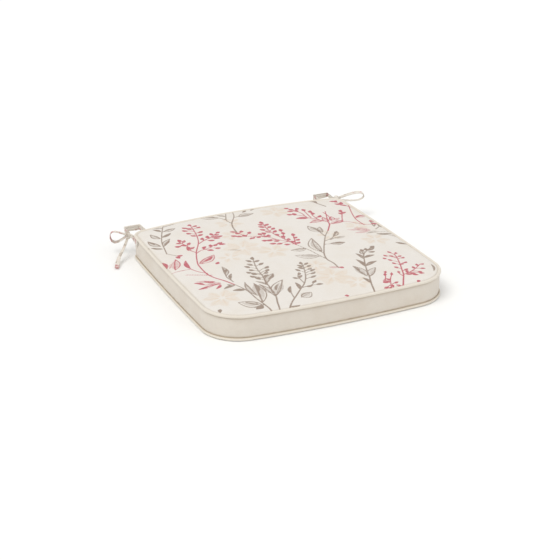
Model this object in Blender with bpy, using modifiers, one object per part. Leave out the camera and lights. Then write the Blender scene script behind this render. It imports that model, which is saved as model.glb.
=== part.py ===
"""A boxed and piped chair seat pad with printed tie tapes, as separate named pieces.

Metres, +Z up. The pad lies on z = 0 with its front edge towards -Y and its back edge towards +Y.
+X is to the right for someone who stands in front of the chair and looks at it.
"""

from math import asin
from math import cos
from math import pi
from math import radians
from math import sin

import bmesh
import bpy
from mathutils import Vector

# ---- The pad's plan, measured along the middle of the piping -------------------------------
FRONT_HALF_WIDTH = 0.238  # half the distance between the front corners, before rounding
BACK_HALF_WIDTH = 0.226  # half the distance between the back corners, before rounding
FRONT_REACH = 0.225  # from the middle of the pad forward to the line of the front corners
BACK_REACH = 0.220  # from the middle of the pad back to the line of the back corners
FRONT_BOW = 0.013  # how far the front edge bulges past its corners
SIDE_BOW = 0.004
BACK_BOW = 0.020
FRONT_CORNER = 0.064  # length of edge taken up by the rounding of a front corner
BACK_CORNER = 0.020
CORNER_FULLNESS = 0.56  # how far a corner's curve is pulled towards the sharp corner

# ---- Heights and cloth ---------------------------------------------------------------------
PAD_THICKNESS = 0.050  # over the two pipings, at the edge
CROWN = 0.0065  # rise of the top panel from its edge to its middle
CROWN_SHARES = (0.96, 0.90, 0.80, 0.65, 0.45, 0.22)  # sizes of the rings that shape the crown
FABRIC = 0.0008  # cover cloth
PIPING_FABRIC = 0.0007
PIPING_RADIUS = 0.003  # outside of the covered piping
BORDER_INSET = 0.0008  # middle of the border cloth, in from the middle of the piping
CLEARANCE = 0.0003  # left between pieces that touch
SEAM_ALLOWANCE = 0.0085  # length of the piping's flange past its round part
HEM_DEPTH = 0.0070  # border cloth turned in under the piping's flange
PANEL_RIM = 0.0090  # width of the base panel's sloping edge
FOAM_INSET = 0.0062  # foam's side, in from the middle of the piping
WADDING_INSET = 0.0128  # wadding stops inside the seam allowances

# ---- Zip in the back border ----------------------------------------------------------------
BACK_PANEL_HALF = 0.160  # half length of the two back border strips, measured along X
ZIP_HALF = 0.150  # half length of the two rows of teeth
ZIP_TAPE_HALF = 0.157
ZIP_TAPE_WIDTH = 0.0105
ZIP_TAPE_THICKNESS = 0.0005
TEETH_PITCH = 0.004
TEETH_WIDTH = 0.0022  # one row, up and down
TEETH_THICKNESS = 0.0020  # in and out of the pad
TEETH_NOTCH = 0.0011  # depth of the gaps between teeth
TEETH_FACE = 0.0009  # outer face of the teeth, in from the middle of the piping
ZIP_SLIT_HALF = 0.0007  # half the space between the two rows, where the slider's web runs
SLIDER_LENGTH = 0.009
SLIDER_PLATE = 0.0010
SLIDER_HALF_HEIGHT = 0.0033
SLIDER_ROOM = 0.0004  # between the slider and the border strips above and below it
SLIDER_WEB = 0.0008
SLIDER_REST = 0.138  # distance of the closed slider from the middle of the zip
ARCH_WINDOW = 0.0018  # height of the space under the slider's arch
ARCH_BAR = 0.0009
ARCH_HALF_LENGTH = 0.00265
ARCH_WIDTH = 0.0016
PULL_LENGTH = 0.020
PULL_THICKNESS = 0.0008
PULL_ARM = 0.0009
PULL_EYE = 0.0036  # from the pivot to the far edge of the eye
STOP_WIDTH = 0.0018
STOP_EXTRA = 0.0004  # how much thicker a stop is than the teeth
STOP_ROUNDING = 0.0003

# ---- Ties round the chair's back posts -----------------------------------------------------
POST_INNER = 0.194  # the posts' inner faces, from the middle of the pad
POST_OUTER = 0.224
POST_BACK = 0.270
TAPE_WIDTH = 0.012
TAPE_THICKNESS = 0.0012
POST_SLACK = 0.0010  # play between a post and the tapes
TAPE_ROOT = 0.014  # length of tape sewn flat on the border
TAPE_BEND = 0.003  # cut across a corner where a tape goes round the post
KNOT_SIZE = (0.010, 0.012, 0.016)
KNOT_Y = 0.240
KNOT_ROUNDING = 0.0025
LOOP_ROOT_SPREAD = 1.6  # half the gap between a loop's two ends, in tape thicknesses
# A tail's path is its distance from the knot and its height, point by point.
LEFT_TAIL = (
    (0.0, 0.0290),
    (0.010, 0.0283),
    (0.024, 0.0235),
    (0.042, 0.0160),
    (0.062, 0.0078),
    (0.085, 0.0022),
)
RIGHT_TAIL = ((0.0, 0.0290), (0.009, 0.0282), (0.018, 0.0225), (0.027, 0.0130), (0.034, 0.0030))

BACK_STEPS = 10  # straight pieces that make up the back edge's arc between the side seams
DOUBLED = 0.00001  # points closer than this are one point

# ---- Sizes worked out from the ones above --------------------------------------------------
BASE_SEAM = PIPING_RADIUS  # height of the middle of the lower piping
TOP_SEAM = PAD_THICKNESS - PIPING_RADIUS
PIPING_PLY = CLEARANCE / 2 + PIPING_FABRIC
HEM_DROP = PIPING_PLY + CLEARANCE + FABRIC / 2
PANEL_INSET = PIPING_RADIUS + CLEARANCE
FOAM_TOP = TOP_SEAM - HEM_DROP - FABRIC / 2 - CLEARANCE
FOAM_BOTTOM = BASE_SEAM + HEM_DROP + FABRIC / 2 + CLEARANCE
ZIP_HEIGHT = PAD_THICKNESS / 2
BORDER_EDGE = SLIDER_HALF_HEIGHT + SLIDER_ROOM
ZIP_TAPE_FACE = BORDER_INSET + FABRIC / 2 + CLEARANCE
TAPE_MIDDLE = PAD_THICKNESS - 2 * PIPING_RADIUS - CLEARANCE - TAPE_WIDTH / 2
TAPE_X = POST_OUTER + POST_SLACK + TAPE_THICKNESS / 2
KNOT_X = POST_OUTER + POST_SLACK + KNOT_SIZE[0] / 2

CREAM = (0.80, 0.76, 0.69)
BORDER_CREAM = (0.70, 0.65, 0.58)
FOAM_COLOUR = (0.86, 0.82, 0.62)
WADDING_COLOUR = (0.92, 0.92, 0.90)
CORD_COLOUR = (0.88, 0.86, 0.80)
ZIP_TAPE_COLOUR = (0.74, 0.69, 0.61)
NICKEL = (0.60, 0.58, 0.55)
TIE_COLOUR = (0.76, 0.66, 0.60)


def clear_scene():
    for old in list(bpy.data.objects):
        bpy.data.objects.remove(old, do_unlink=True)


def make_collection(name):
    collection = bpy.data.collections.new(name)
    bpy.context.scene.collection.children.link(collection)
    return collection


def make_material(name, colour, roughness, metallic=0.0):
    material = bpy.data.materials.new(name)
    material.use_nodes = True
    shader = material.node_tree.nodes["Principled BSDF"]
    shader.inputs["Base Color"].default_value = (*colour, 1.0)
    shader.inputs["Roughness"].default_value = roughness
    shader.inputs["Metallic"].default_value = metallic
    return material


def add_object(name, data, colour, roughness=0.9, metallic=0.0):
    """Puts a mesh or curve in the pad's collection, with a material of its own."""
    thing = bpy.data.objects.new(name, data)
    PAD.objects.link(thing)
    data.materials.clear()
    data.materials.append(make_material(name + "_material", colour, roughness, metallic))
    return thing


def add_solidify(thing, thickness, offset):
    shell = thing.modifiers.new("thickness", "SOLIDIFY")
    shell.thickness = thickness
    shell.offset = offset
    shell.use_even_offset = True
    return shell


def add_bevel(thing, width, segments=2):
    edge = thing.modifiers.new("rounding", "BEVEL")
    edge.width = width
    edge.segments = segments
    edge.limit_method = "ANGLE"
    edge.angle_limit = radians(40)
    return edge


# ---- Plan outline --------------------------------------------------------------------------


class Edge:
    """One side of the plan: a circular arc between two corners that bulges outward."""

    def __init__(self, start, end, bow):
        chord = end - start
        outward = Vector((chord.y, -chord.x)).normalized()
        self.radius = chord.length**2 / (8 * bow) + bow / 2
        self.centre = (start + end) / 2 - outward * (self.radius - bow)
        self.half_angle = asin(chord.length / (2 * self.radius))
        self.along = chord.normalized()
        self.outward = outward
        self.length = 2 * self.half_angle * self.radius

    def point(self, share):
        angle = (2 * share - 1) * self.half_angle
        return self.centre + (self.along * sin(angle) + self.outward * cos(angle)) * self.radius


def round_corner(edge_in, edge_out, cut, count):
    """Points of a smooth curve from one edge to the next, without its first and last."""
    first = edge_in.point(1 - cut / edge_in.length)
    last = edge_out.point(cut / edge_out.length)
    sharp = edge_in.point(1)
    handle_in = first.lerp(sharp, CORNER_FULLNESS)
    handle_out = last.lerp(sharp, CORNER_FULLNESS)
    points = []
    for step in range(1, count):
        t = step / count
        s = 1 - t
        points.append(
            first * s**3 + handle_in * 3 * s * s * t + handle_out * 3 * s * t * t + last * t**3
        )
    return points


def edge_run(edge, cut_in, cut_out, count):
    """Points along an edge from one rounding to the next, both ends included."""
    low = cut_in / edge.length
    high = 1 - cut_out / edge.length
    return [edge.point(low + (high - low) * step / count) for step in range(count + 1)]


def plan_edges():
    front_left = Vector((-FRONT_HALF_WIDTH, -FRONT_REACH))
    front_right = Vector((FRONT_HALF_WIDTH, -FRONT_REACH))
    back_right = Vector((BACK_HALF_WIDTH, BACK_REACH))
    back_left = Vector((-BACK_HALF_WIDTH, BACK_REACH))
    return (
        Edge(front_left, front_right, FRONT_BOW),
        Edge(front_right, back_right, SIDE_BOW),
        Edge(back_right, back_left, BACK_BOW),
        Edge(back_left, front_left, SIDE_BOW),
    )


def back_arc(from_x, to_x, count):
    """Points along the back edge between two X values, evenly spaced in angle."""
    start = asin(from_x / BACK.radius)
    step_angle = (asin(to_x / BACK.radius) - start) / count
    leans = [start + step_angle * step for step in range(count + 1)]
    return [BACK.centre + Vector((sin(a), cos(a))) * BACK.radius for a in leans]


def border_run():
    """The outline from the zip panel's left end, round the front, to its right end."""
    back_left_end = BACK.point(1 - BACK_CORNER / BACK.length).x
    back_right_end = BACK.point(BACK_CORNER / BACK.length).x
    points = back_arc(-BACK_PANEL_HALF, back_left_end, 2)
    points += round_corner(BACK, LEFT, BACK_CORNER, 6)
    points += edge_run(LEFT, BACK_CORNER, FRONT_CORNER, 5)
    points += round_corner(LEFT, FRONT, FRONT_CORNER, 8)
    points += edge_run(FRONT, FRONT_CORNER, FRONT_CORNER, 8)
    points += round_corner(FRONT, RIGHT, FRONT_CORNER, 8)
    points += edge_run(RIGHT, FRONT_CORNER, BACK_CORNER, 5)
    points += round_corner(RIGHT, BACK, BACK_CORNER, 6)
    points += back_arc(back_right_end, BACK_PANEL_HALF, 2)
    return points


def full_outline():
    """The whole outline, anticlockwise from above, as a closed ring of points."""
    return border_run() + back_arc(BACK_PANEL_HALF, -BACK_PANEL_HALF, BACK_STEPS)[1:-1]


def moved_out(points, distance, closed):
    """The same line moved outward, square to itself."""
    result = []
    last = len(points) - 1
    for index, point in enumerate(points):
        before = points[index - 1] if closed or index > 0 else point
        after = points[(index + 1) % len(points)] if closed or index < last else point
        along = (after - before).normalized()
        result.append(point + Vector((along.y, -along.x)) * distance)
    return result


# ---- Builders ------------------------------------------------------------------------------


def line_curve(name, points, closed, flat=True):
    curve = bpy.data.curves.new(name, "CURVE")
    curve.dimensions = "2D" if flat else "3D"
    curve.fill_mode = "NONE" if flat else "FULL"
    spline = curve.splines.new("POLY")
    spline.points.add(len(points) - 1)
    for spot, point in zip(spline.points, points):
        spot.co = (point[0], point[1], point[2] if len(point) > 2 else 0.0, 1.0)
    spline.use_cyclic_u = closed
    return curve


def tidied(mesh):
    """Joins doubled points and turns every face outward."""
    work = bmesh.new()
    work.from_mesh(mesh)
    bmesh.ops.remove_doubles(work, verts=work.verts, dist=DOUBLED)
    bmesh.ops.recalc_face_normals(work, faces=work.faces)
    work.to_mesh(mesh)
    work.free()
    return mesh


def curve_to_mesh(name, curve, profile=None):
    """Turns a curve into a mesh with its doubled points joined, and removes the curve."""
    holder = bpy.data.objects.new(name + "_curve", curve)
    PAD.objects.link(holder)
    if profile is not None:
        shape = bpy.data.objects.new(name + "_profile", profile)
        PAD.objects.link(shape)
        curve.bevel_mode = "OBJECT"
        curve.bevel_object = shape
    bpy.context.view_layer.update()
    graph = bpy.context.evaluated_depsgraph_get()
    mesh = bpy.data.meshes.new_from_object(holder.evaluated_get(graph))
    mesh.name = name
    bpy.data.objects.remove(holder, do_unlink=True)
    if profile is not None:
        bpy.data.objects.remove(shape, do_unlink=True)
    return tidied(mesh)


def swept(name, points, closed, section, section_closed, height, colour):
    """A strip or tube with a constant section, run along the outline.

    A section point is (outward, up), measured from the outline at the given height. Blender sets
    a closed curve's section the other way round from an open one's.
    """
    curve = line_curve(name, points, closed)
    curve.use_fill_caps = section_closed and not closed
    side = -1 if closed else 1
    drawn = [(side * out, up) for out, up in section]
    profile = line_curve(name + "_section", drawn, section_closed)
    mesh = curve_to_mesh(name, curve, profile)
    thing = add_object(name, mesh, colour)
    thing.location.z = height
    return thing


def slab(name, points, bottom, top, colour):
    """A flat piece with straight sides, from one height to another."""
    curve = line_curve(name, points, True)
    curve.fill_mode = "BOTH"
    curve.extrude = (top - bottom) / 2
    thing = add_object(name, curve_to_mesh(name, curve), colour)
    thing.location.z = (top + bottom) / 2
    return thing


def ribbon(name, points, width, thickness, colour):
    """A flat tape standing on edge: its path lies in XY and its width goes along Z."""
    curve = line_curve(name, points, False)
    curve.extrude = width / 2
    thing = add_object(name, curve_to_mesh(name, curve), colour)
    add_solidify(thing, thickness, 0.0)
    return thing


def box(name, size, middle, colour, roughness=0.9, metallic=0.0):
    work = bmesh.new()
    bmesh.ops.create_cube(work, size=1.0)
    bmesh.ops.scale(work, vec=size, verts=work.verts)
    bmesh.ops.translate(work, vec=middle, verts=work.verts)
    return finish_mesh(name, work, colour, roughness, metallic)


def raise_rings(work, face, shares, height_at):
    """Steps a flat face inward in rings: each share is a ring's size, height_at gives its height."""
    outline = [(vert.co.x, vert.co.y) for vert in face.verts]
    for share in shares:
        bmesh.ops.inset_individual(work, faces=[face], thickness=0.0, use_even_offset=False)
        for vert, (x, y) in zip(face.verts, outline):
            vert.co = (x * share, y * share, height_at(share))


def flat_face(work, points, height):
    return work.faces.new([work.verts.new((point.x, point.y, height)) for point in points])


def finish_mesh(name, work, colour, roughness=0.9, metallic=0.0):
    bmesh.ops.recalc_face_normals(work, faces=work.faces)
    mesh = bpy.data.meshes.new(name)
    work.to_mesh(mesh)
    work.free()
    return add_object(name, mesh, colour, roughness, metallic)


def crown_height(rim, share):
    return rim + CROWN * (1 - share**4)


# ---- The cover -----------------------------------------------------------------------------


def piping_section():
    """A cloth tube round the cord with its two plies of seam allowance, open between the plies."""
    inner = PIPING_RADIUS - PIPING_FABRIC
    half_gap = CLEARANCE / 2
    ply = half_gap + PIPING_FABRIC
    outer_turn = pi - asin(ply / PIPING_RADIUS)
    inner_turn = pi - asin(half_gap / inner)
    flange_end = -PIPING_RADIUS - SEAM_ALLOWANCE
    around = [outer_turn - 2 * outer_turn * step / 9 for step in range(10)]
    back = [-inner_turn + 2 * inner_turn * step / 7 for step in range(8)]
    section = [(flange_end, ply)]
    section += [(PIPING_RADIUS * cos(turn), PIPING_RADIUS * sin(turn)) for turn in around]
    section += [(flange_end, -ply), (flange_end, -half_gap)]
    section += [(inner * cos(turn), inner * sin(turn)) for turn in back]
    section += [(flange_end, half_gap)]
    return section


def make_piping(name, height):
    swept(name + "_cover", OUTLINE, True, piping_section(), True, height, CREAM)
    cord_radius = PIPING_RADIUS - PIPING_FABRIC - CLEARANCE
    cord = [(cord_radius * cos(pi * k / 4), cord_radius * sin(pi * k / 4)) for k in range(8)]
    swept(name + "_cord", OUTLINE, True, cord, True, height, CORD_COLOUR)


def turned_edge():
    """Middle line of the border cloth where it turns in under a piping, from hem to wall.

    Heights are measured down from the middle of the piping.
    """
    clear_of_piping = PIPING_RADIUS + CLEARANCE + FABRIC / 2
    start_turn = pi + asin(HEM_DROP / clear_of_piping)
    end_turn = 1.5 * pi - asin(BORDER_INSET / clear_of_piping)
    steps = 4
    line = [(clear_of_piping * cos(start_turn) - HEM_DEPTH, -HEM_DROP)]
    for step in range(steps + 1):
        turn = start_turn + (end_turn - start_turn) * step / steps
        line.append((clear_of_piping * cos(turn), clear_of_piping * sin(turn)))
    return line


def make_border_strip():
    """The boxing strip that runs round the front and both sides, hemmed in top and bottom."""
    upper = [(out, TOP_SEAM + up) for out, up in turned_edge()]
    lower = [(out, BASE_SEAM - up) for out, up in reversed(turned_edge())]
    strip = swept("border_strip", border_run(), False, upper + lower, False, 0.0, BORDER_CREAM)
    add_solidify(strip, FABRIC, 0.0)


def make_back_border():
    """The two strips above and below the zip."""
    reach = BACK_PANEL_HALF - CLEARANCE
    run = back_arc(reach, -reach, BACK_STEPS)
    upper = [(out, TOP_SEAM + up) for out, up in turned_edge()]
    upper.append((-BORDER_INSET, ZIP_HEIGHT + BORDER_EDGE))
    lower = [(out, BASE_SEAM - up) for out, up in turned_edge()]
    lower.append((-BORDER_INSET, ZIP_HEIGHT - BORDER_EDGE))
    for name, section in (("back_border_upper", upper), ("back_border_lower", lower)):
        add_solidify(swept(name, run, False, section, False, 0.0, BORDER_CREAM), FABRIC, 0.0)


def make_top_panel():
    work = bmesh.new()
    rim = TOP_SEAM + PIPING_PLY + CLEARANCE + FABRIC
    face = flat_face(work, moved_out(OUTLINE, -PANEL_INSET, True), rim)
    raise_rings(work, face, CROWN_SHARES, lambda share: crown_height(rim, share))
    panel = finish_mesh("top_panel", work, CREAM)
    add_solidify(panel, FABRIC, -1.0)


def make_base_panel():
    """Flat where it rests on the seat, with a sloping rim up to the seam."""
    work = bmesh.new()
    rim = BASE_SEAM - PIPING_PLY - CLEARANCE - FABRIC
    outline = moved_out(OUTLINE, -PANEL_INSET, True)
    face = flat_face(work, outline, rim)
    bmesh.ops.inset_individual(work, faces=[face], thickness=0.0, use_even_offset=False)
    for vert, point in zip(face.verts, moved_out(outline, -PANEL_RIM, True)):
        vert.co = (point.x, point.y, 0.0)
    panel = finish_mesh("base_panel", work, BORDER_CREAM)
    add_solidify(panel, FABRIC, -1.0)


# ---- The filling ---------------------------------------------------------------------------


def make_foam():
    outline = moved_out(OUTLINE, -FOAM_INSET, True)
    slab("foam_core", outline, FOAM_BOTTOM, FOAM_TOP, FOAM_COLOUR)


def make_top_wadding():
    """Polyester wadding over the foam, thick in the middle, which gives the pad its crown."""
    work = bmesh.new()
    bottom = FOAM_TOP + CLEARANCE
    rim = TOP_SEAM + PIPING_PLY
    face = flat_face(work, moved_out(OUTLINE, -WADDING_INSET, True), bottom)
    lifted = bmesh.ops.extrude_face_region(work, geom=[face])["geom"]
    top = next(piece for piece in lifted if isinstance(piece, bmesh.types.BMFace))
    for vert in top.verts:
        vert.co.z = rim
    raise_rings(work, top, CROWN_SHARES, lambda share: crown_height(rim, share))
    finish_mesh("top_wadding", work, WADDING_COLOUR)


def make_base_wadding():
    outline = moved_out(OUTLINE, -WADDING_INSET, True)
    slab("base_wadding", outline, FABRIC + CLEARANCE, FOAM_BOTTOM - CLEARANCE, WADDING_COLOUR)


# ---- The zip -------------------------------------------------------------------------------


def comb_sheet(side):
    """A flat row of teeth along X: a spine away from the slit, with gaps cut in its near edge."""
    cells = 2 * round(2 * ZIP_HALF / TEETH_PITCH)
    near = side * ZIP_SLIT_HALF
    heights = (near, near + side * TEETH_NOTCH, near + side * TEETH_WIDTH)
    work = bmesh.new()
    bmesh.ops.create_grid(work, x_segments=cells, y_segments=2, size=1.0)
    gaps = []
    for face in work.faces:
        middle = face.calc_center_median()
        column = round((middle.x + 1) / 2 * cells - 0.5)
        if middle.y < 0 and column % 2:
            gaps.append(face)
    bmesh.ops.delete(work, geom=gaps, context="FACES")
    for vert in work.verts:
        row = round(vert.co.y) + 1
        vert.co = (vert.co.x * ZIP_HALF, heights[row], 0.0)
    return work


def bent_to_back_edge(work, out):
    """Lays a flat sheet, drawn along X and up Y, on the back edge at the zip's height."""
    for vert in work.verts:
        lean = vert.co.x / BACK.radius
        reach = BACK.radius + out
        up = vert.co.y
        vert.co = (reach * sin(lean), BACK.centre.y + reach * cos(lean), ZIP_HEIGHT + up)


def make_zip_rows():
    middle = -(TEETH_FACE + TEETH_THICKNESS / 2)
    for name, side in (("upper", 1), ("lower", -1)):
        work = comb_sheet(side)
        bent_to_back_edge(work, middle)
        row = finish_mesh("zip_teeth_" + name, work, NICKEL, 0.35, 0.9)
        add_solidify(row, TEETH_THICKNESS, 0.0)
        near = side * (ZIP_SLIT_HALF + TEETH_WIDTH + CLEARANCE)
        far = near + side * ZIP_TAPE_WIDTH
        face = -ZIP_TAPE_FACE
        back = face - ZIP_TAPE_THICKNESS
        section = [(face, near), (face, far), (back, far), (back, near)]
        run = back_arc(ZIP_TAPE_HALF, -ZIP_TAPE_HALF, BACK_STEPS)
        swept("zip_tape_" + name, run, False, section, True, ZIP_HEIGHT, ZIP_TAPE_COLOUR)


def make_zip_stops():
    """A metal staple across both rows at each end of the zip."""
    size = (STOP_WIDTH, TEETH_THICKNESS + STOP_EXTRA, 2 * (ZIP_SLIT_HALF + TEETH_WIDTH))
    reach = BACK.radius - TEETH_FACE - TEETH_THICKNESS / 2
    for name, side in (("zip_stop_open_end", -1), ("zip_stop_closed_end", 1)):
        stop = box(name, size, (0, reach, 0), NICKEL, 0.35, 0.9)
        stop.location = (BACK.centre.x, BACK.centre.y, ZIP_HEIGHT)
        stop.rotation_euler.z = -side * (ZIP_HALF + CLEARANCE + STOP_WIDTH / 2) / BACK.radius
        add_bevel(stop, STOP_ROUNDING)


def extruded(name, outline, depth):
    """A mesh of a flat outline, with an optional hole as a second ring, given a depth along Z."""
    curve = line_curve(name, outline[0], True)
    for ring in outline[1:]:
        spline = curve.splines.new("POLY")
        spline.points.add(len(ring) - 1)
        for spot, (x, y) in zip(spline.points, ring):
            spot.co = (x, y, 0.0, 1.0)
        spline.use_cyclic_u = True
    curve.fill_mode = "BOTH"
    curve.extrude = depth / 2
    return curve_to_mesh(name, curve)


def make_empty(name, spot, parent=None):
    empty = bpy.data.objects.new(name, None)
    PAD.objects.link(empty)
    empty.location = spot
    empty.parent = parent
    return empty


def make_slider():
    """The slider turns about the centre of the back edge's arc, so that it follows the zip."""
    track = make_empty("zip_track_centre", (BACK.centre.x, BACK.centre.y, 0.0))
    track.rotation_euler.z = -asin(SLIDER_REST / BACK.radius)
    outer_face = -(TEETH_FACE - CLEARANCE)
    inner_face = -(TEETH_FACE + TEETH_THICKNESS + CLEARANCE)
    high = SLIDER_HALF_HEIGHT
    web = SLIDER_WEB / 2
    half = [
        (inner_face - SLIDER_PLATE, high),
        (inner_face, high),
        (inner_face, web),
        (outer_face, web),
        (outer_face, high),
        (outer_face + SLIDER_PLATE, high),
    ]
    section = half + [(out, -up) for out, up in reversed(half)]
    mesh = extruded("zip_slider", [section], SLIDER_LENGTH)
    slider = add_object("zip_slider", mesh, NICKEL, 0.3, 0.9)
    slider.parent = track
    slider.location = (0, BACK.radius, ZIP_HEIGHT)
    # The section is drawn outward and up; these turns set outward along +Y and up along +Z.
    slider.rotation_euler = (pi / 2, 0, pi / 2)

    plate_top = outer_face + SLIDER_PLATE
    arch_top = plate_top + ARCH_WINDOW + ARCH_BAR
    foot = plate_top - SLIDER_PLATE / 2
    leg = ARCH_HALF_LENGTH - ARCH_BAR
    arch_outline = [
        (-ARCH_HALF_LENGTH, foot),
        (-leg, foot),
        (-leg, plate_top + ARCH_WINDOW),
        (leg, plate_top + ARCH_WINDOW),
        (leg, foot),
        (ARCH_HALF_LENGTH, foot),
        (ARCH_HALF_LENGTH, arch_top),
        (-ARCH_HALF_LENGTH, arch_top),
    ]
    arch = bpy.data.objects.new("slider_arch", extruded("slider_arch", [arch_outline], ARCH_WIDTH))
    HELPERS.objects.link(arch)
    arch.parent = track
    arch.location = (0, BACK.radius, ZIP_HEIGHT)
    arch.hide_render = True
    arch.display_type = "WIRE"
    joined = slider.modifiers.new("arch", "BOOLEAN")
    joined.operation = "UNION"
    joined.solver = "EXACT"
    joined.object = arch

    pivot_reach = BACK.radius + plate_top + ARCH_WINDOW / 2
    return make_empty("zip_pull_pivot", (0, pivot_reach, ZIP_HEIGHT), track)


def make_pull(pivot):
    """A flat tab whose end bar runs under the slider's arch."""
    bar = PULL_THICKNESS / 2
    eye = ARCH_WIDTH / 2 + CLEARANCE
    side = eye + PULL_ARM
    tip = -PULL_LENGTH
    turn = [pi / 2 + pi * step / 8 for step in range(9)]
    rim = [(bar, side)]
    rim += [(tip + side + side * cos(a), side * sin(a)) for a in turn]
    rim += [(bar, -side)]
    hole = [(-bar, eye), (-PULL_EYE, eye), (-PULL_EYE, -eye), (-bar, -eye)]
    mesh = extruded("zip_pull", [rim, hole], PULL_THICKNESS)
    pull = add_object("zip_pull", mesh, NICKEL, 0.3, 0.9)
    pull.parent = pivot
    pull.rotation_euler.x = pi / 2


# ---- The ties ------------------------------------------------------------------------------


class TieSide:
    """Where one corner's bow points: headings are degrees from +X, anticlockwise from above."""

    def __init__(self, name, side, loop_length, loop_height, loop_heading, loop_pitch, tail):
        self.name = name
        self.side = side
        self.loop_length = loop_length
        self.loop_height = loop_height
        self.loop_heading = loop_heading
        self.loop_pitch = loop_pitch
        self.tail_heading, self.tail_path = tail


TIES = (
    TieSide("left", -1, 0.029, 0.0215, 155.0, -8.0, (232.0, LEFT_TAIL)),
    TieSide("right", 1, 0.052, 0.0150, -21.0, 8.0, (65.0, RIGHT_TAIL)),
)


def make_band_tapes(tie):
    """The two tapes sewn to a back corner: one past the post's outer face, one round behind it."""
    proud = CLEARANCE + TAPE_THICKNESS / 2 - (BORDER_INSET - FABRIC / 2)
    shares = [1 - (BACK_CORNER + back) / RIGHT.length for back in (TAPE_ROOT, TAPE_ROOT / 2, 0.0)]
    root = moved_out([RIGHT.point(share) for share in shares], proud, False)
    knot_front = KNOT_Y - KNOT_SIZE[1] / 2 - CLEARANCE
    knot_back = KNOT_Y + KNOT_SIZE[1] / 2 + CLEARANCE
    outer = root + [Vector((TAPE_X, root[-1].y + TAPE_ROOT)), Vector((TAPE_X, knot_front))]

    inner_x = POST_INNER - POST_SLACK - TAPE_THICKNESS / 2
    behind = POST_BACK + POST_SLACK + TAPE_THICKNESS / 2
    sewn_end = inner_x - TAPE_BEND
    sewn = moved_out(back_arc(sewn_end, sewn_end - TAPE_ROOT, 2), proud, False)
    inner = list(reversed(sewn))
    inner += [
        Vector((inner_x, inner[-1].y + TAPE_BEND)),
        Vector((inner_x, behind - TAPE_BEND)),
        Vector((inner_x + TAPE_BEND, behind)),
        Vector((TAPE_X - TAPE_BEND, behind)),
        Vector((TAPE_X, behind - TAPE_BEND)),
        Vector((TAPE_X, knot_back)),
    ]
    for label, path in (("outer_tape", outer), ("inner_tape", inner)):
        points = [(point.x * tie.side, point.y) for point in path]
        name = f"tie_{tie.name}_{label}"
        tape = ribbon(name, points, TAPE_WIDTH, TAPE_THICKNESS, TIE_COLOUR)
        tape.location.z = TAPE_MIDDLE


def make_knot(tie):
    knot = box(f"tie_{tie.name}_knot", KNOT_SIZE, (0, 0, 0), TIE_COLOUR)
    knot.location = (tie.side * KNOT_X, KNOT_Y, TAPE_MIDDLE)
    add_bevel(knot, KNOT_ROUNDING, 3)


def make_loop(tie):
    """One loop of the bow: out along its heading, round the end and back to the knot."""
    steps = 22
    spread = LOOP_ROOT_SPREAD * TAPE_THICKNESS
    pitch = radians(tie.loop_pitch)
    points = []
    for step in range(steps + 1):
        turn = pi * step / steps
        out = tie.loop_length * sin(turn)
        up = tie.loop_height / 2 * sin(2 * turn) + spread * cos(turn)
        points.append((out * cos(pitch) - up * sin(pitch), out * sin(pitch) + up * cos(pitch)))
    loop = ribbon(f"tie_{tie.name}_loop", points, TAPE_WIDTH, TAPE_THICKNESS, TIE_COLOUR)
    heading = radians(tie.loop_heading)
    face = KNOT_X + KNOT_SIZE[0] / 2 + CLEARANCE + TAPE_WIDTH / 2 * abs(sin(heading))
    loop.location = (tie.side * face, KNOT_Y, TAPE_MIDDLE)
    loop.rotation_euler = (pi / 2, 0, heading)


def make_tail(tie):
    """The free end, from under the knot down to the surface that the pad lies on."""
    tail = ribbon(f"tie_{tie.name}_tail", tie.tail_path, TAPE_WIDTH, TAPE_THICKNESS, TIE_COLOUR)
    tail.location = (tie.side * KNOT_X, KNOT_Y, 0.0)
    tail.rotation_euler = (pi / 2, 0, radians(tie.tail_heading))


# ---- The pad -------------------------------------------------------------------------------
clear_scene()
PAD = make_collection("chair_seat_pad")
HELPERS = make_collection("helpers")
FRONT, RIGHT, BACK, LEFT = plan_edges()
OUTLINE = full_outline()

make_top_panel()
make_base_panel()
make_border_strip()
make_back_border()
make_piping("top_piping", TOP_SEAM)
make_piping("base_piping", BASE_SEAM)
make_foam()
make_top_wadding()
make_base_wadding()
make_zip_rows()
make_zip_stops()
make_pull(make_slider())
for tie in TIES:
    make_band_tapes(tie)
    make_knot(tie)
    make_loop(tie)
    make_tail(tie)
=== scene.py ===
"""Dresses the chair seat pad: a printed linen top, plain borders, piping, a zip and corner ties.

Everything is in metres in the frame's own axes: +Z up, the pad's front edge towards -Y, and the
underside of the pad on z = 0.
"""

import logging
from dataclasses import dataclass
from dataclasses import field
from enum import Enum
from math import asin
from math import cos
from math import pi
from math import radians
from math import sin

import bmesh
import bpy
import numpy as np
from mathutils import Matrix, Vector
from mathutils import noise
from mathutils.kdtree import KDTree


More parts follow.
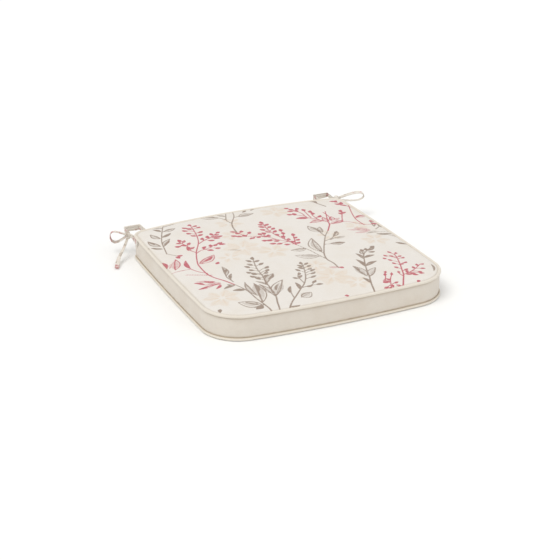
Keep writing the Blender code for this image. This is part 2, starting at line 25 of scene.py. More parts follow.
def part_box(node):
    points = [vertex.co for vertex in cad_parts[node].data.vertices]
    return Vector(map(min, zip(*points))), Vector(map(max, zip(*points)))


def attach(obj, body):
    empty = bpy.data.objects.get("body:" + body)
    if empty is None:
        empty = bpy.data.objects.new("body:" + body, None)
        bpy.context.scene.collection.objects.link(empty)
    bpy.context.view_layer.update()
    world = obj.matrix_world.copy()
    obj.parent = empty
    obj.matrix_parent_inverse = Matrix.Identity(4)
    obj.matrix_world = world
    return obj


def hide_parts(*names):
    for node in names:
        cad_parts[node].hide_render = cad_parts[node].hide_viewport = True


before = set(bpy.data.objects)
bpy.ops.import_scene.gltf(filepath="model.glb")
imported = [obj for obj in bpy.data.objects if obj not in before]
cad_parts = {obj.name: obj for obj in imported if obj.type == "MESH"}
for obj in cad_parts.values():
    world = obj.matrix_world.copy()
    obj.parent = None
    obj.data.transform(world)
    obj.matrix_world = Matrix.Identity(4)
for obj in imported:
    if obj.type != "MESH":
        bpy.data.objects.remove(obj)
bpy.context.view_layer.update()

LOG = logging.getLogger("seat_pad")
MM = 0.001
LAY = "Lay"  # name of the map that says, in metres, where each thread of a cloth lies
# The crease attribute sets how much painted shade the cloth gets along its seams.
CREASE_SHADE = "crease"  # 1 in the bottom of a seam, fading to 0 on open cloth
BLUSH = "blush"  # how much of a printed rose patch falls on a tie tape

Thing = bpy.types.Object
Node = bpy.types.Node
Socket = bpy.types.NodeSocket
Colour = tuple[float, float, float]
Spot = tuple[float, float]
Spot3 = tuple[float, float, float]
UP = np.array([0.0, 0.0, 1.0])


class Ink(Enum):
    """The inks of the print."""

    ROSE = "rose"
    TAUPE = "taupe"
    SAND = "sand"


class Fill(Enum):
    """How a printed leaf is drawn."""

    SOLID = "solid"
    OUTLINE = "outline"
    WASH = "wash"


class Side(Enum):
    """A back corner of the pad, by the sign of its X."""

    LEFT = -1
    RIGHT = 1


# ---- Mesh helpers --------------------------------------------------------------------------


def unit(vectors: np.ndarray) -> np.ndarray:
    """Scales each row to a length of one."""
    length = np.linalg.norm(vectors, axis=-1, keepdims=True)
    return vectors / np.maximum(length, 1e-12)


def smoothstep(low: float, high: float, value: np.ndarray) -> np.ndarray:
    """Eases from 0 at low to 1 at high."""
    share = np.clip((value - low) / (high - low), 0.0, 1.0)
    return share * share * (3 - 2 * share)


def resampled(points: np.ndarray, count: int, closed: bool) -> np.ndarray:
    """Spreads points evenly along a line.

    Args:
        points: The line's points, one per row.
        count: How many points to return.
        closed: Whether the line runs back to its first point.

    Returns:
        The new points. A closed line's first point isn't repeated at its end.
    """
    line = np.vstack([points, points[:1]]) if closed else points
    steps = np.linalg.norm(np.diff(line, axis=0), axis=1)
    along = np.concatenate([[0.0], np.cumsum(steps)])
    wanted = np.linspace(0.0, along[-1], count + 1)[:-1] if closed else np.linspace(0.0, along[-1], count)
    return np.stack([np.interp(wanted, along, line[:, axis]) for axis in range(line.shape[1])], axis=1)


def smooth_line(points: list[tuple[float, ...]], steps: int) -> np.ndarray:
    """Runs a Catmull-Rom curve through points.

    Args:
        points: The points that the curve passes through.
        steps: How many pieces each span is cut into.

    Returns:
        The curve's points, both ends included.
    """
    knots = np.array(points, float)
    if len(knots) < 3:
        return resampled(knots, steps + 1, False)
    padded = np.vstack([2 * knots[0] - knots[1], knots, 2 * knots[-1] - knots[-2]])
    pieces = []
    for index in range(1, len(padded) - 2):
        before, first, last, after = padded[index - 1 : index + 3]
        for step in range(steps):
            t = step / steps
            pieces.append(
                0.5
                * (
                    2 * first
                    + (last - before) * t
                    + (2 * before - 5 * first + 4 * last - after) * t * t
                    + (3 * first - before - 3 * last + after) * t**3
                )
            )
    pieces.append(knots[-1])
    return np.array(pieces)


def arc_length(points: np.ndarray) -> np.ndarray:
    """The distance along a line to each of its points."""
    return np.concatenate([[0.0], np.cumsum(np.linalg.norm(np.diff(points, axis=0), axis=1))])


def ripple(x: float, y: float, z: float, size: float) -> float:
    """Smooth noise from -1 to 1 whose lumps are about size across."""
    return noise.noise(Vector((x, y, z)) / size)


@dataclass
class Sheet:
    """A grid of points that becomes a mesh, with a map of where its threads lie.

    Attributes:
        points: Positions, in rows along the sheet and columns across it.
        along: Distance along the sheet of each row, one more than the rows if it closes.
        across: Distance across the sheet of each column, one more if it closes.
        ring: Whether the last row joins the first.
        tube: Whether the last column joins the first.
    """

    points: np.ndarray
    along: np.ndarray
    across: np.ndarray
    ring: bool = False
    tube: bool = False

    def faces(self) -> tuple[np.ndarray, np.ndarray]:
        """Lists the quads.

        Returns:
            The corner indices of each quad and the thread position of each corner.
        """
        rows, columns = self.points.shape[:2]
        row = np.arange(rows if self.ring else rows - 1)
        column = np.arange(columns if self.tube else columns - 1)
        i, j = np.meshgrid(row, column, indexing="ij")
        i, j = i.ravel(), j.ravel()
        corners = [(i, j), (i + 1, j), (i + 1, j + 1), (i, j + 1)]
        index = np.stack([(a % rows) * columns + b % columns for a, b in corners], axis=1)
        lay = np.stack([np.stack([self.along[a], self.across[b]], axis=1) for a, b in corners], axis=1)
        return index, lay


def placed(name: str, data: bpy.types.ID) -> Thing:
    """Adds an object with this data to the scene."""
    thing = bpy.data.objects.new(name, data)
    bpy.context.scene.collection.objects.link(thing)
    return thing


def make_piece(name: str, sheets: list[Sheet], caps: list[np.ndarray] | None = None) -> Thing:
    """Joins sheets into one mesh object.

    Args:
        name: The piece's name.
        sheets: The grids that make it up. Points at the same place are joined.
        caps: Rings of points that are filled with one face each.

    Returns:
        The new object, smooth shaded, with its thread map.
    """
    points, quads, lays, start = [], [], [], 0
    for sheet in sheets:
        index, lay = sheet.faces()
        points.append(sheet.points.reshape(-1, 3))
        quads.append(index + start)
        lays.append(lay.reshape(-1, 2))
        start += len(points[-1])
    faces = np.vstack(quads).tolist()
    for cap in caps or []:
        points.append(cap)
        faces.append(list(range(start, start + len(cap))))
        lays.append(cap[:, :2])
        start += len(cap)
    mesh = bpy.data.meshes.new(name)
    mesh.from_pydata(np.vstack(points).tolist(), [], faces)
    lay_map = mesh.uv_layers.new(name=LAY)
    lay_map.data.foreach_set("uv", np.vstack(lays).astype(np.float32).ravel())
    work = bmesh.new()
    work.from_mesh(mesh)
    bmesh.ops.remove_doubles(work, verts=work.verts, dist=1e-6)
    bmesh.ops.recalc_face_normals(work, faces=work.faces)
    work.to_mesh(mesh)
    work.free()
    mesh.polygons.foreach_set("use_smooth", [True] * len(mesh.polygons))
    return placed(name, mesh)


def positions(thing: Thing) -> np.ndarray:
    """The positions of a mesh object's points, one per row.

    Args:
        thing: The object.

    Returns:
        The positions.
    """
    flat = np.zeros(len(thing.data.vertices) * 3)
    thing.data.vertices.foreach_get("co", flat)
    return flat.reshape(-1, 3)


def store(thing: Thing, name: str, values: np.ndarray) -> None:
    """Keeps one number per point of a mesh under a name that materials can read."""
    kept = thing.data.attributes.new(name, "FLOAT", "POINT")
    kept.data.foreach_set("value", np.asarray(values, np.float32))


def lookup(points: np.ndarray, height: float = 0.0) -> KDTree:
    """Sorts points into a tree that finds the nearest one.

    Args:
        points: Positions, one per row, in space or in the plan.
        height: The height given to points in the plan.

    Returns:
        The tree, in which each point goes by its row.
    """
    if points.shape[1] == 2:
        points = np.column_stack([points, np.full(len(points), height)])
    tree = KDTree(len(points))
    for index, point in enumerate(points):
        tree.insert(point, index)
    tree.balance()
    return tree


def thicken(thing: Thing, thickness: float, offset: float = -1.0) -> None:
    """Gives an open sheet a real thickness, inward unless offset says otherwise.

    Args:
        thing: The sheet.
        thickness: How thick.
        offset: -1 for inward, 0 for both ways, 1 for outward.
    """
    shell = thing.modifiers.new("cloth_thickness", "SOLIDIFY")
    shell.thickness = thickness
    shell.offset = offset


def settle(thing: Thing, finish: "Finish", slot: str, *nodes: str) -> Thing:
    """Gives a finished piece its material and its place in the frame.

    Args:
        thing: The piece.
        finish: What it is made of.
        slot: The material slot it belongs to, which is not used.
        *nodes: The frame's nodes that it stands for.

    Returns:
        The piece.
    """
    thing.data.materials.clear()
    thing.data.materials.append(finish.material())
    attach(thing, "pad")
    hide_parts(*nodes)
    LOG.info("%s: %d points, stands for %s", thing.name, len(thing.data.vertices), ", ".join(nodes))
    return thing


# ---- Finishes ------------------------------------------------------------------------------


class Shader:
    """Builds one material's nodes, with short names for the ones used most."""

    def __init__(self, name: str) -> None:
        """Starts a material with an empty Principled surface.

        Args:
            name: The material's name.
        """
        self.made = bpy.data.materials.new(name)
        self.made.use_nodes = True
        self.tree = self.made.node_tree
        self.surface = self.tree.nodes["Principled BSDF"]

    def node(self, kind: str, **settings: object) -> Node:
        """Adds a node and sets its properties.

        Args:
            kind: The kind of node.
            **settings: Its properties.

        Returns:
            The node.
        """
        added = self.tree.nodes.new(kind)
        for key, value in settings.items():
            setattr(added, key, value)
        return added

    def link(self, source: Socket | float | Colour, target: Socket) -> None:
        """Joins an output to an input, or sets the input if the source is a plain value.

        Args:
            source: The output or the value.
            target: The input.
        """
        if isinstance(source, bpy.types.NodeSocket):
            self.tree.links.new(source, target)
        elif isinstance(source, tuple) and len(target.default_value) == 4:
            target.default_value = (*source, 1.0)
        else:
            target.default_value = source

    def math(self, operation: str, first: Socket | float, second: Socket | float = 0.0) -> Socket:
        """Combines two numbers.

        Args:
            operation: What is done.
            first: The first number.
            second: The second.

        Returns:
            The result.
        """
        made = self.node("ShaderNodeMath", operation=operation)
        self.link(first, made.inputs[0])
        self.link(second, made.inputs[1])
        return made.outputs[0]

    def mix(self, share: Socket | float, first: Socket | Colour, second: Socket | Colour) -> Socket:
        """Mixes two colours.

        Args:
            share: How much of the second.
            first: The first colour.
            second: The second.

        Returns:
            The mixture.
        """
        made = self.node("ShaderNodeMix", data_type="RGBA")
        self.link(share, made.inputs["Factor"])
        self.link(first, made.inputs["A"])
        self.link(second, made.inputs["B"])
        return made.outputs["Result"]

    def fade(
        self, value: Socket, low: float, high: float, to_low: float = 0.0, to_high: float = 1.0
    ) -> Socket:
        """Maps a range of numbers smoothly to another.

        Args:
            value: The number.
            low: Where it starts to change.
            high: Where it stops.
            to_low: The result at low.
            to_high: The result at high.

        Returns:
            The result.
        """
        made = self.node("ShaderNodeMapRange", interpolation_type="SMOOTHSTEP")
        for key, number in (("From Min", low), ("From Max", high), ("To Min", to_low), ("To Max", to_high)):
            made.inputs[key].default_value = number
        self.link(value, made.inputs["Value"])
        return made.outputs["Result"]

    def grain(self, place: Socket, scale: float, detail: float = 3.0, rough: float = 0.55) -> Socket:
        """Smooth noise, with lumps about 1/scale metres across.

        Args:
            place: The position it is taken at.
            scale: Lumps per metre.
            detail: How many finer layers it has.
            rough: How strong the finer layers are.

        Returns:
            The noise, from 0 to 1.
        """
        made = self.node("ShaderNodeTexNoise")
        made.inputs["Scale"].default_value = scale
        made.inputs["Detail"].default_value = detail
        made.inputs["Roughness"].default_value = rough
        self.link(place, made.inputs["Vector"])
        return made.outputs["Fac"]

    def stretched(self, place: Socket, scale: Colour, turn: float = 0.0) -> Socket:
        """Turns and stretches a position, so that noise on it runs along one direction.

        Args:
            place: The position.
            scale: How far it is stretched on each axis.
            turn: How far it is turned, in radians.

        Returns:
            The new position.
        """
        made = self.node("ShaderNodeMapping")
        made.inputs["Scale"].default_value = scale
        made.inputs["Rotation"].default_value = (0.0, 0.0, turn)
        self.link(place, made.inputs["Vector"])
        return made.outputs["Vector"]

    def lay(self) -> Socket:
        """Where the threads lie, in metres along and across the cloth."""
        return self.node("ShaderNodeUVMap", uv_map=LAY).outputs["UV"]

    def place(self) -> Socket:
        """The point's position in metres."""
        return self.node("ShaderNodeTexCoord").outputs["Object"]

    def stored(self, name: str) -> Socket:
        """A number kept on the mesh."""
        return self.node("ShaderNodeAttribute", attribute_name=name).outputs["Fac"]

    def cover(self, colour: Socket, rough: Socket | float) -> None:
        """Gives the surface its colour and its roughness."""
        self.link(colour, self.surface.inputs["Base Color"])
        self.link(rough, self.surface.inputs["Roughness"])

    def bump(self, height: Socket, distance: float) -> None:
        """Raises the surface by a height pattern.

        Args:
            height: The pattern.
            distance: How far its full value stands up, in metres.
        """
        made = self.node("ShaderNodeBump")
        made.inputs["Distance"].default_value = distance
        made.inputs["Strength"].default_value = 1.0
        self.link(height, made.inputs["Height"])
        self.link(made.outputs["Normal"], self.surface.inputs["Normal"])

    def set(self, **values: float) -> None:
        """Sets plain numbers on the surface's own sockets, with _ for each space in a name."""
        for key, value in values.items():
            self.surface.inputs[key.replace("_", " ")].default_value = value


@dataclass(frozen=True)
class Finish:
    """What a piece is made of."""

    name: str

    def material(self) -> bpy.types.Material:
        """Returns the material, made the first time it's asked for."""
        return bpy.data.materials.get(self.name) or self.build(Shader(self.name)).made

    def build(self, shader: Shader) -> Shader:
        """Adds the finish's nodes to an empty material and returns it."""
        return shader


@dataclass(frozen=True)
class Cloth(Finish):
    """A plain-woven linen or cotton, with uneven threads, slubs, mottling, and painted shade in its seams
    and between its threads.
    """

    colour: Colour = (0.78, 0.74, 0.68)
    tint: Colour = (0.70, 0.62, 0.52)
    # seam is the colour of the painted shade laid into seam creases and the hollows between threads.
    seam: Colour = (0.46, 0.36, 0.24)
    thread: float = 0.0011
    mottling: float = 0.25
    contrast: float = 0.10
    relief: float = 0.00010
    bias: float = 0.0
    sheen: float = 0.25
    # How strongly the crease attribute paints that shade into the seams.
    crease_shade_strength: float = 0.75
    hollow_rough: float = 0.93
    thread_rough: float = 0.80

    def threads(self, shader: Shader, lay: Socket) -> Socket:
        """A plain weave's height, from 0 between threads to 1 on top of one.

        Args:
            shader: The material being built.
            lay: Where the threads lie.

        Returns:
            The height.
        """
        parts = shader.node("ShaderNodeSeparateXYZ")
        shader.link(lay, parts.inputs[0])
        turns = [shader.math("MULTIPLY", parts.outputs[axis], pi / self.thread) for axis in (0, 1)]
        waves = [shader.math("SINE", turn) for turn in turns]
        over = shader.math("GREATER_THAN", shader.math("MULTIPLY", waves[0], waves[1]), 0.0)
        warp = shader.math("ABSOLUTE", waves[0])
        weft = shader.math("ABSOLUTE", waves[1])
        picked = shader.node("ShaderNodeMix", data_type="FLOAT")
        shader.link(over, picked.inputs["Factor"])
        shader.link(warp, picked.inputs["A"])
        shader.link(weft, picked.inputs["B"])
        return picked.outputs["Result"]

    def ground(self, shader: Shader) -> tuple[Socket, Socket]:
        """The undyed cloth.

        Args:
            shader: The material being built.

        Returns:
            Its colour and its height pattern.
        """
        lay = shader.stretched(shader.lay(), (1.0, 1.0, 1.0), self.bias)
        threads = self.threads(shader, lay)
        warp_slubs = shader.grain(shader.stretched(lay, (60.0, 900.0, 1.0)), 1.0, 2.0)
        weft_slubs = shader.grain(shader.stretched(lay, (900.0, 60.0, 1.0)), 1.0, 2.0)
        slubs = shader.math("ADD", warp_slubs, weft_slubs)
        clouds = shader.grain(shader.place(), 17.0, 4.0, 0.6)
        warmth = shader.math("MULTIPLY", shader.fade(clouds, 0.42, 0.68), self.mottling)
        colour = shader.mix(warmth, self.colour, self.tint)
        dark = shader.math("MULTIPLY", shader.fade(slubs, 0.75, 1.25), self.contrast)
        colour = shader.mix(dark, colour, self.tint)
        # Painted shade: the hollows between threads are darkened towards the seam colour.
        hollow_shade = shader.math("MULTIPLY", shader.fade(threads, 0.9, 0.2), self.contrast)
        colour = shader.mix(hollow_shade, colour, self.seam)
        height = shader.math("ADD", threads, shader.math("MULTIPLY", slubs, 0.8))
        return colour, height

    def paint_crease_shade(self, shader: Shader, colour: Socket) -> Socket:
        """Paints shade on the cloth where it turns down into a seam, as strongly as the crease attribute
        says.
        """
        depth = shader.math("MULTIPLY", shader.stored(CREASE_SHADE), self.crease_shade_strength)
        return shader.mix(depth, colour, self.seam)

    def dyed(self, shader: Shader, colour: Socket) -> Socket:
        """The cloth's colour with whatever is printed on it, which is nothing here."""
        return colour

    def build(self, shader: Shader) -> Shader:
        """Adds the cloth's nodes to an empty material.

        Args:
            shader: The material.

        Returns:
            The same material.
        """
        colour, height = self.ground(shader)
        rough = shader.fade(height, 0.2, 1.8, self.hollow_rough, self.thread_rough)
        shader.cover(self.paint_crease_shade(shader, self.dyed(shader, colour)), rough)
        shader.bump(height, self.relief)
        shader.set(Specular_IOR_Level=0.25, Sheen_Weight=self.sheen, Sheen_Roughness=0.45)
        return shader


@dataclass(frozen=True)
class PrintedCloth(Cloth):
    """Linen printed in two inks, from distances to the drawn lines kept on the mesh."""

    rose: Colour = (0.51, 0.135, 0.160)
    taupe: Colour = (0.325, 0.250, 0.200)
    sand: Colour = (0.71, 0.58, 0.45)
    edge: float = 0.0006
    sand_edge: float = 4.0
    hollow_rough: float = 0.92
    thread_rough: float = 0.78

    def inked(self, shader: Shader, colour: Socket, ink: Ink, tone: Colour) -> Socket:
        """Prints one ink's washes and then its lines.

        Args:
            shader: The material being built.
            colour: The cloth under the ink.
            ink: Which ink.
            tone: Its full colour.

        Returns:
            The printed colour.
        """
        wobble = shader.grain(shader.place(), 900.0, 2.0)
        jitter = shader.math("MULTIPLY", shader.math("SUBTRACT", wobble, 0.5), 0.0016)
        density = shader.grain(shader.place(), 130.0, 4.0, 0.7)
        for layer, strength, low, high in (("wash", 0.50, 0.34, 0.70), ("line", 1.0, 0.20, 0.52)):
            distance = shader.math("ADD", shader.stored(f"{ink.value}_{layer}"), jitter)
            edge = self.edge * (self.sand_edge if ink is Ink.SAND else 1)
            cover = shader.fade(distance, edge, -edge)
            soak = shader.fade(density, low, high, strength * 0.5, strength)
            colour = shader.mix(shader.math("MULTIPLY", cover, soak), colour, tone)
        return colour

    def dyed(self, shader: Shader, colour: Socket) -> Socket:
        """Prints the inks over one another, the palest first.

        Args:
            shader: The material being built.
            colour: The cloth under the inks.

        Returns:
            The printed colour.
        """
        for ink, tone in ((Ink.SAND, self.sand), (Ink.TAUPE, self.taupe), (Ink.ROSE, self.rose)):
            colour = self.inked(shader, colour, ink, tone)
        return colour


@dataclass(frozen=True)
class PatchedTape(Cloth):
    """Narrow tie tape cut from the same print, so that only patches of ink show on it."""

    rose: Colour = (0.50, 0.16, 0.18)
    taupe: Colour = (0.36, 0.28, 0.22)
    hollow_rough: float = 0.92
    patch_level: float = 0.57

    def dyed(self, shader: Shader, colour: Socket) -> Socket:
        """Scatters patches of both inks, and the rose blush kept on the mesh.

        Args:
            shader: The material being built.
            colour: The cloth under the inks.

        Returns:
            The printed colour.
        """
        low = self.patch_level
        for tone, offset in ((self.taupe, 0.0), (self.rose, 3.7)):
            moved = shader.node("ShaderNodeVectorMath", operation="ADD")
            shader.link(shader.place(), moved.inputs[0])
            moved.inputs[1].default_value = (offset, offset, offset)
            patches = shader.fade(shader.grain(moved.outputs[0], 75.0, 2.0, 0.6), low, low + 0.08)
            colour = shader.mix(shader.math("MULTIPLY", patches, 0.62), colour, tone)
        blotches = shader.fade(shader.grain(shader.place(), 260.0, 3.0, 0.6), 0.36, 0.52)
        blush = shader.math("MULTIPLY", blotches, shader.stored(BLUSH))
        return shader.mix(shader.math("MULTIPLY", blush, 0.85), colour, self.rose)


@dataclass(frozen=True)
class Metal(Finish):
    """Brushed nickel with fine scratches and dulled edges."""

    colour: Colour = (0.60, 0.57, 0.53)
    worn: Colour = (0.46, 0.43, 0.39)

    def build(self, shader: Shader) -> Shader:
        """Adds the metal's nodes to an empty material.

        Args:
            shader: The material.

        Returns:
            The same material.
        """
        place = shader.place()
        brushed = shader.grain(shader.stretched(place, (300.0, 300.0, 9000.0)), 1.0, 3.0)
        tarnish = shader.grain(place, 420.0, 4.0, 0.65)
        colour = shader.mix(shader.fade(tarnish, 0.48, 0.75), self.colour, self.worn)
        shader.cover(colour, shader.fade(brushed, 0.25, 0.8, 0.26, 0.44))
        shader.bump(brushed, 0.00002)
        shader.set(Metallic=1.0)
        return shader


@dataclass(frozen=True)
class Foam(Finish):
    """Open-cell upholstery foam, yellowed at its cut edges."""

    colour: Colour = (0.82, 0.78, 0.66)
    aged: Colour = (0.72, 0.62, 0.44)

    def build(self, shader: Shader) -> Shader:
        """Adds the foam's nodes to an empty material.

        Args:
            shader: The material.

        Returns:
            The same material.
        """
        place = shader.place()
        cells = shader.node("ShaderNodeTexVoronoi", feature="DISTANCE_TO_EDGE")
        cells.inputs["Scale"].default_value = 900.0
        shader.link(place, cells.inputs["Vector"])
        walls = cells.outputs["Distance"]
        colour = shader.mix(shader.fade(shader.grain(place, 25.0), 0.4, 0.7), self.colour, self.aged)
        colour = shader.mix(shader.fade(walls, 0.25, 0.0, 0.0, 0.35), colour, self.aged)
        shader.cover(colour, shader.fade(walls, 0.0, 0.3, 0.98, 0.86))
        shader.bump(walls, 0.0004)
        return shader


@dataclass(frozen=True)
class Fibre(Finish):
    """Loose white polyester, or cotton cord, with strands that run along it."""

    colour: Colour = (0.88, 0.88, 0.86)
    shade: Colour = (0.66, 0.65, 0.62)
    strand: Colour = (1500.0, 90.0, 1500.0)

    def build(self, shader: Shader) -> Shader:
        """Adds the fibre's nodes to an empty material.

        Args:
            shader: The material.

        Returns:
            The same material.
        """
        strands = shader.grain(shader.stretched(shader.place(), self.strand), 1.0, 4.0, 0.7)
        tufts = shader.grain(shader.place(), 60.0, 3.0)
        colour = shader.mix(shader.fade(strands, 0.4, 0.65), self.shade, self.colour)
        colour = shader.mix(shader.fade(tufts, 0.5, 0.8, 0.0, 0.4), colour, self.shade)
        shader.cover(colour, shader.fade(strands, 0.2, 0.8, 0.98, 0.85))
        shader.bump(strands, 0.0003)
        shader.set(Sheen_Weight=0.3)
        return shader


@dataclass(frozen=True)
class Floor(Finish):
    """A plain pale floor with the faintest unevenness."""

    colour: Colour = (0.93, 0.93, 0.92)
    shade: Colour = (0.90, 0.90, 0.89)

    def build(self, shader: Shader) -> Shader:
        """Adds the floor's nodes to an empty material.

        Args:
            shader: The material.

        Returns:
            The same material.
        """
        colour = shader.mix(shader.grain(shader.place(), 3.0), self.colour, self.shade)
        shader.cover(colour, 0.9)
        shader.set(Specular_IOR_Level=0.1)
        return shader


# In the cloths below, seam is the colour of the painted shade in seam creases and thread hollows, and the
# crease strength says how much of it the creases get.
PRINTED = PrintedCloth(
    "printed_linen_cloth",
    colour=(0.79, 0.755, 0.71),
    tint=(0.73, 0.66, 0.56),
    seam=(0.36, 0.27, 0.16),
    sheen=0.10,
    contrast=0.12,
    crease_shade_strength=0.3,
)
PLAIN = Cloth("plain_cream_cloth", colour=(0.72, 0.665, 0.59), tint=(0.64, 0.56, 0.47), mottling=0.35)
PIPED = Cloth(
    "piping_cream_cloth",
    colour=(0.77, 0.715, 0.63),
    seam=(0.36, 0.27, 0.16),
    bias=pi / 4,
    mottling=0.15,
    crease_shade_strength=0.8,
)
TIE_TAPE = PatchedTape("printed_tie_tape", thread=0.0009, crease_shade_strength=0.4)
ZIP_TAPE = Cloth("zip_tape_cloth", colour=(0.72, 0.66, 0.58), thread=0.0007, relief=0.00006, bias=pi / 4)
NICKEL = Metal("brushed_nickel")
FOAM = Foam("upholstery_foam")
WADDING = Fibre("polyester_wadding", strand=(350.0, 350.0, 1800.0))
CORD = Fibre("cotton_cord", colour=(0.86, 0.84, 0.78), shade=(0.60, 0.56, 0.48))


# ---- The plan ------------------------------------------------------------------------------


class Edge:
    """One side of the plan: a circular arc between two corners that bulges outward."""

    def __init__(self, start: Vector, end: Vector, bow: float) -> None:
        """Works out the arc from its ends and how far it bulges past them.

        Args:
            start: Its first end.
            end: Its other end.
            bow: How far it bulges.
        """
        chord = end - start
        self.outward = Vector((chord.y, -chord.x)).normalized()
        self.radius = chord.length**2 / (8 * bow) + bow / 2
        self.centre = (start + end) / 2 - self.outward * (self.radius - bow)
        self.half_angle = asin(chord.length / (2 * self.radius))
        self.along = chord.normalized()
        self.length = 2 * self.half_angle * self.radius

    def point(self, share: float) -> Vector:
        """The point at a share of the way from start to end."""
        angle = (2 * share - 1) * self.half_angle
        return self.centre + (self.along * sin(angle) + self.outward * cos(angle)) * self.radius


@dataclass
class PadPlan:
    """The pad's outline along the middle of its piping, and its main heights.

    Attributes:
        front_half_width: Half the distance between the front corners, before rounding.
        back_half_width: The same at the back.
        front_bow: How far the front edge bulges past its corners.
        side_bow: The same for each side.
        back_bow: The same for the back.
        front_corner: Length of edge taken up by the rounding of a front corner.
        back_corner: The same at the back.
        fullness: How far a corner's curve is pulled towards the sharp corner.
        clearance: Room left between pieces that touch.
    """

    front_half_width: float = 0.238
    back_half_width: float = 0.226
    front_bow: float = 0.013
    side_bow: float = 0.004
    back_bow: float = 0.020
    front_corner: float = 0.064
    back_corner: float = 0.020
    fullness: float = 0.56
    clearance: float = 0.0003
    edges: list[Edge] = field(default_factory=list)

    def __post_init__(self) -> None:
        """Reads the frame's heights and depth, and lays out the four edges."""
        low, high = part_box("top_piping_cover")
        self.piping_radius = (high.z - low.z) / 2
        self.top_seam = (high.z + low.z) / 2
        self.base_seam = self.piping_radius
        self.crown_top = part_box("top_panel")[1].z
        front = low.y + self.piping_radius + self.front_bow
        back = high.y - self.piping_radius - self.back_bow
        front_left = Vector((-self.front_half_width, front))
        front_right = Vector((self.front_half_width, front))
        back_right = Vector((self.back_half_width, back))
        back_left = Vector((-self.back_half_width, back))
        self.edges = [
            Edge(front_left, front_right, self.front_bow),
            Edge(front_right, back_right, self.side_bow),
            Edge(back_right, back_left, self.back_bow),
            Edge(back_left, front_left, self.side_bow),
        ]
        self.cuts = [self.front_corner, self.front_corner, self.back_corner, self.back_corner]
        self.back = self.edges[2]
        self.right = self.edges[1]

    def corner(self, index: int, steps: int) -> list[Vector]:
        """Points round the corner where an edge starts, both ends of its rounding included.

        Args:
            index: Which edge.
            steps: How many pieces the rounding is cut into.

        Returns:
            The points.
        """
        before, after = self.edges[index - 1], self.edges[index]
        cut = self.cuts[index]
        first = before.point(1 - cut / before.length)
        last = after.point(cut / after.length)
        sharp = after.point(0.0)
        handle_in = first.lerp(sharp, self.fullness)
        handle_out = last.lerp(sharp, self.fullness)
        points = []
        for step in range(steps + 1):
            t = step / steps
            s = 1 - t
            points.append(
                first * s**3 + handle_in * (3 * s * s * t) + handle_out * (3 * s * t * t) + last * t**3
            )
        return points

    def side(self, index: int) -> np.ndarray:
        """One side of the plan, from the middle of one corner to the middle of the next.

        Args:
            index: Which edge.

        Returns:
            The points, one per row.
        """
        steps = 48
        following = (index + 1) % 4
        edge = self.edges[index]
        low = self.cuts[index] / edge.length
        high = 1 - self.cuts[following] / edge.length
        line = self.corner(index, steps)[steps // 2 :]
        line += [edge.point(low + (high - low) * step / steps) for step in range(1, steps)]
        line += self.corner(following, steps)[: steps // 2 + 1]
        return np.array([tuple(point) for point in line])

    def outline(self, count: int, inset: float = 0.0) -> np.ndarray:
        """The whole outline, evenly spaced and anticlockwise from above.

        Args:
            count: How many points.
            inset: How far inside the middle of the piping.

        Returns:
            The points, starting at the middle of the front-left corner.
        """
        line = np.vstack([self.side(index)[:-1] for index in range(4)])
        line = resampled(line, count, True)
        return line - outward(line) * inset

    def span(self, start_x: float, end_x: float, count: int) -> np.ndarray:
        """Points along the back edge's arc between two X values.

        Args:
            start_x: X of the first point.
            end_x: X of the last.
            count: How many points.

        Returns:
            The points, one per row.
        """
        start, end = asin(start_x / self.back.radius), asin(end_x / self.back.radius)
        lean = np.linspace(start, end, count)
        x = self.back.radius * np.sin(lean)
        y = self.back.centre.y + self.back.radius * np.cos(lean)
        return np.stack([x, y], axis=1)


def outward(line: np.ndarray, closed: bool = True) -> np.ndarray:
    """The outward direction at each point of an anticlockwise line.

    Args:
        line: Its points.
        closed: Whether it runs back to its first point.

    Returns:
        The directions, each of length one.
    """
    if closed:
        along = np.roll(line, -1, axis=0) - np.roll(line, 1, axis=0)
    else:
        along = np.gradient(line, axis=0)
    return unit(np.stack([along[:, 1], -along[:, 0]], axis=1))


# ---- The stuffed form ----------------------------------------------------------------------


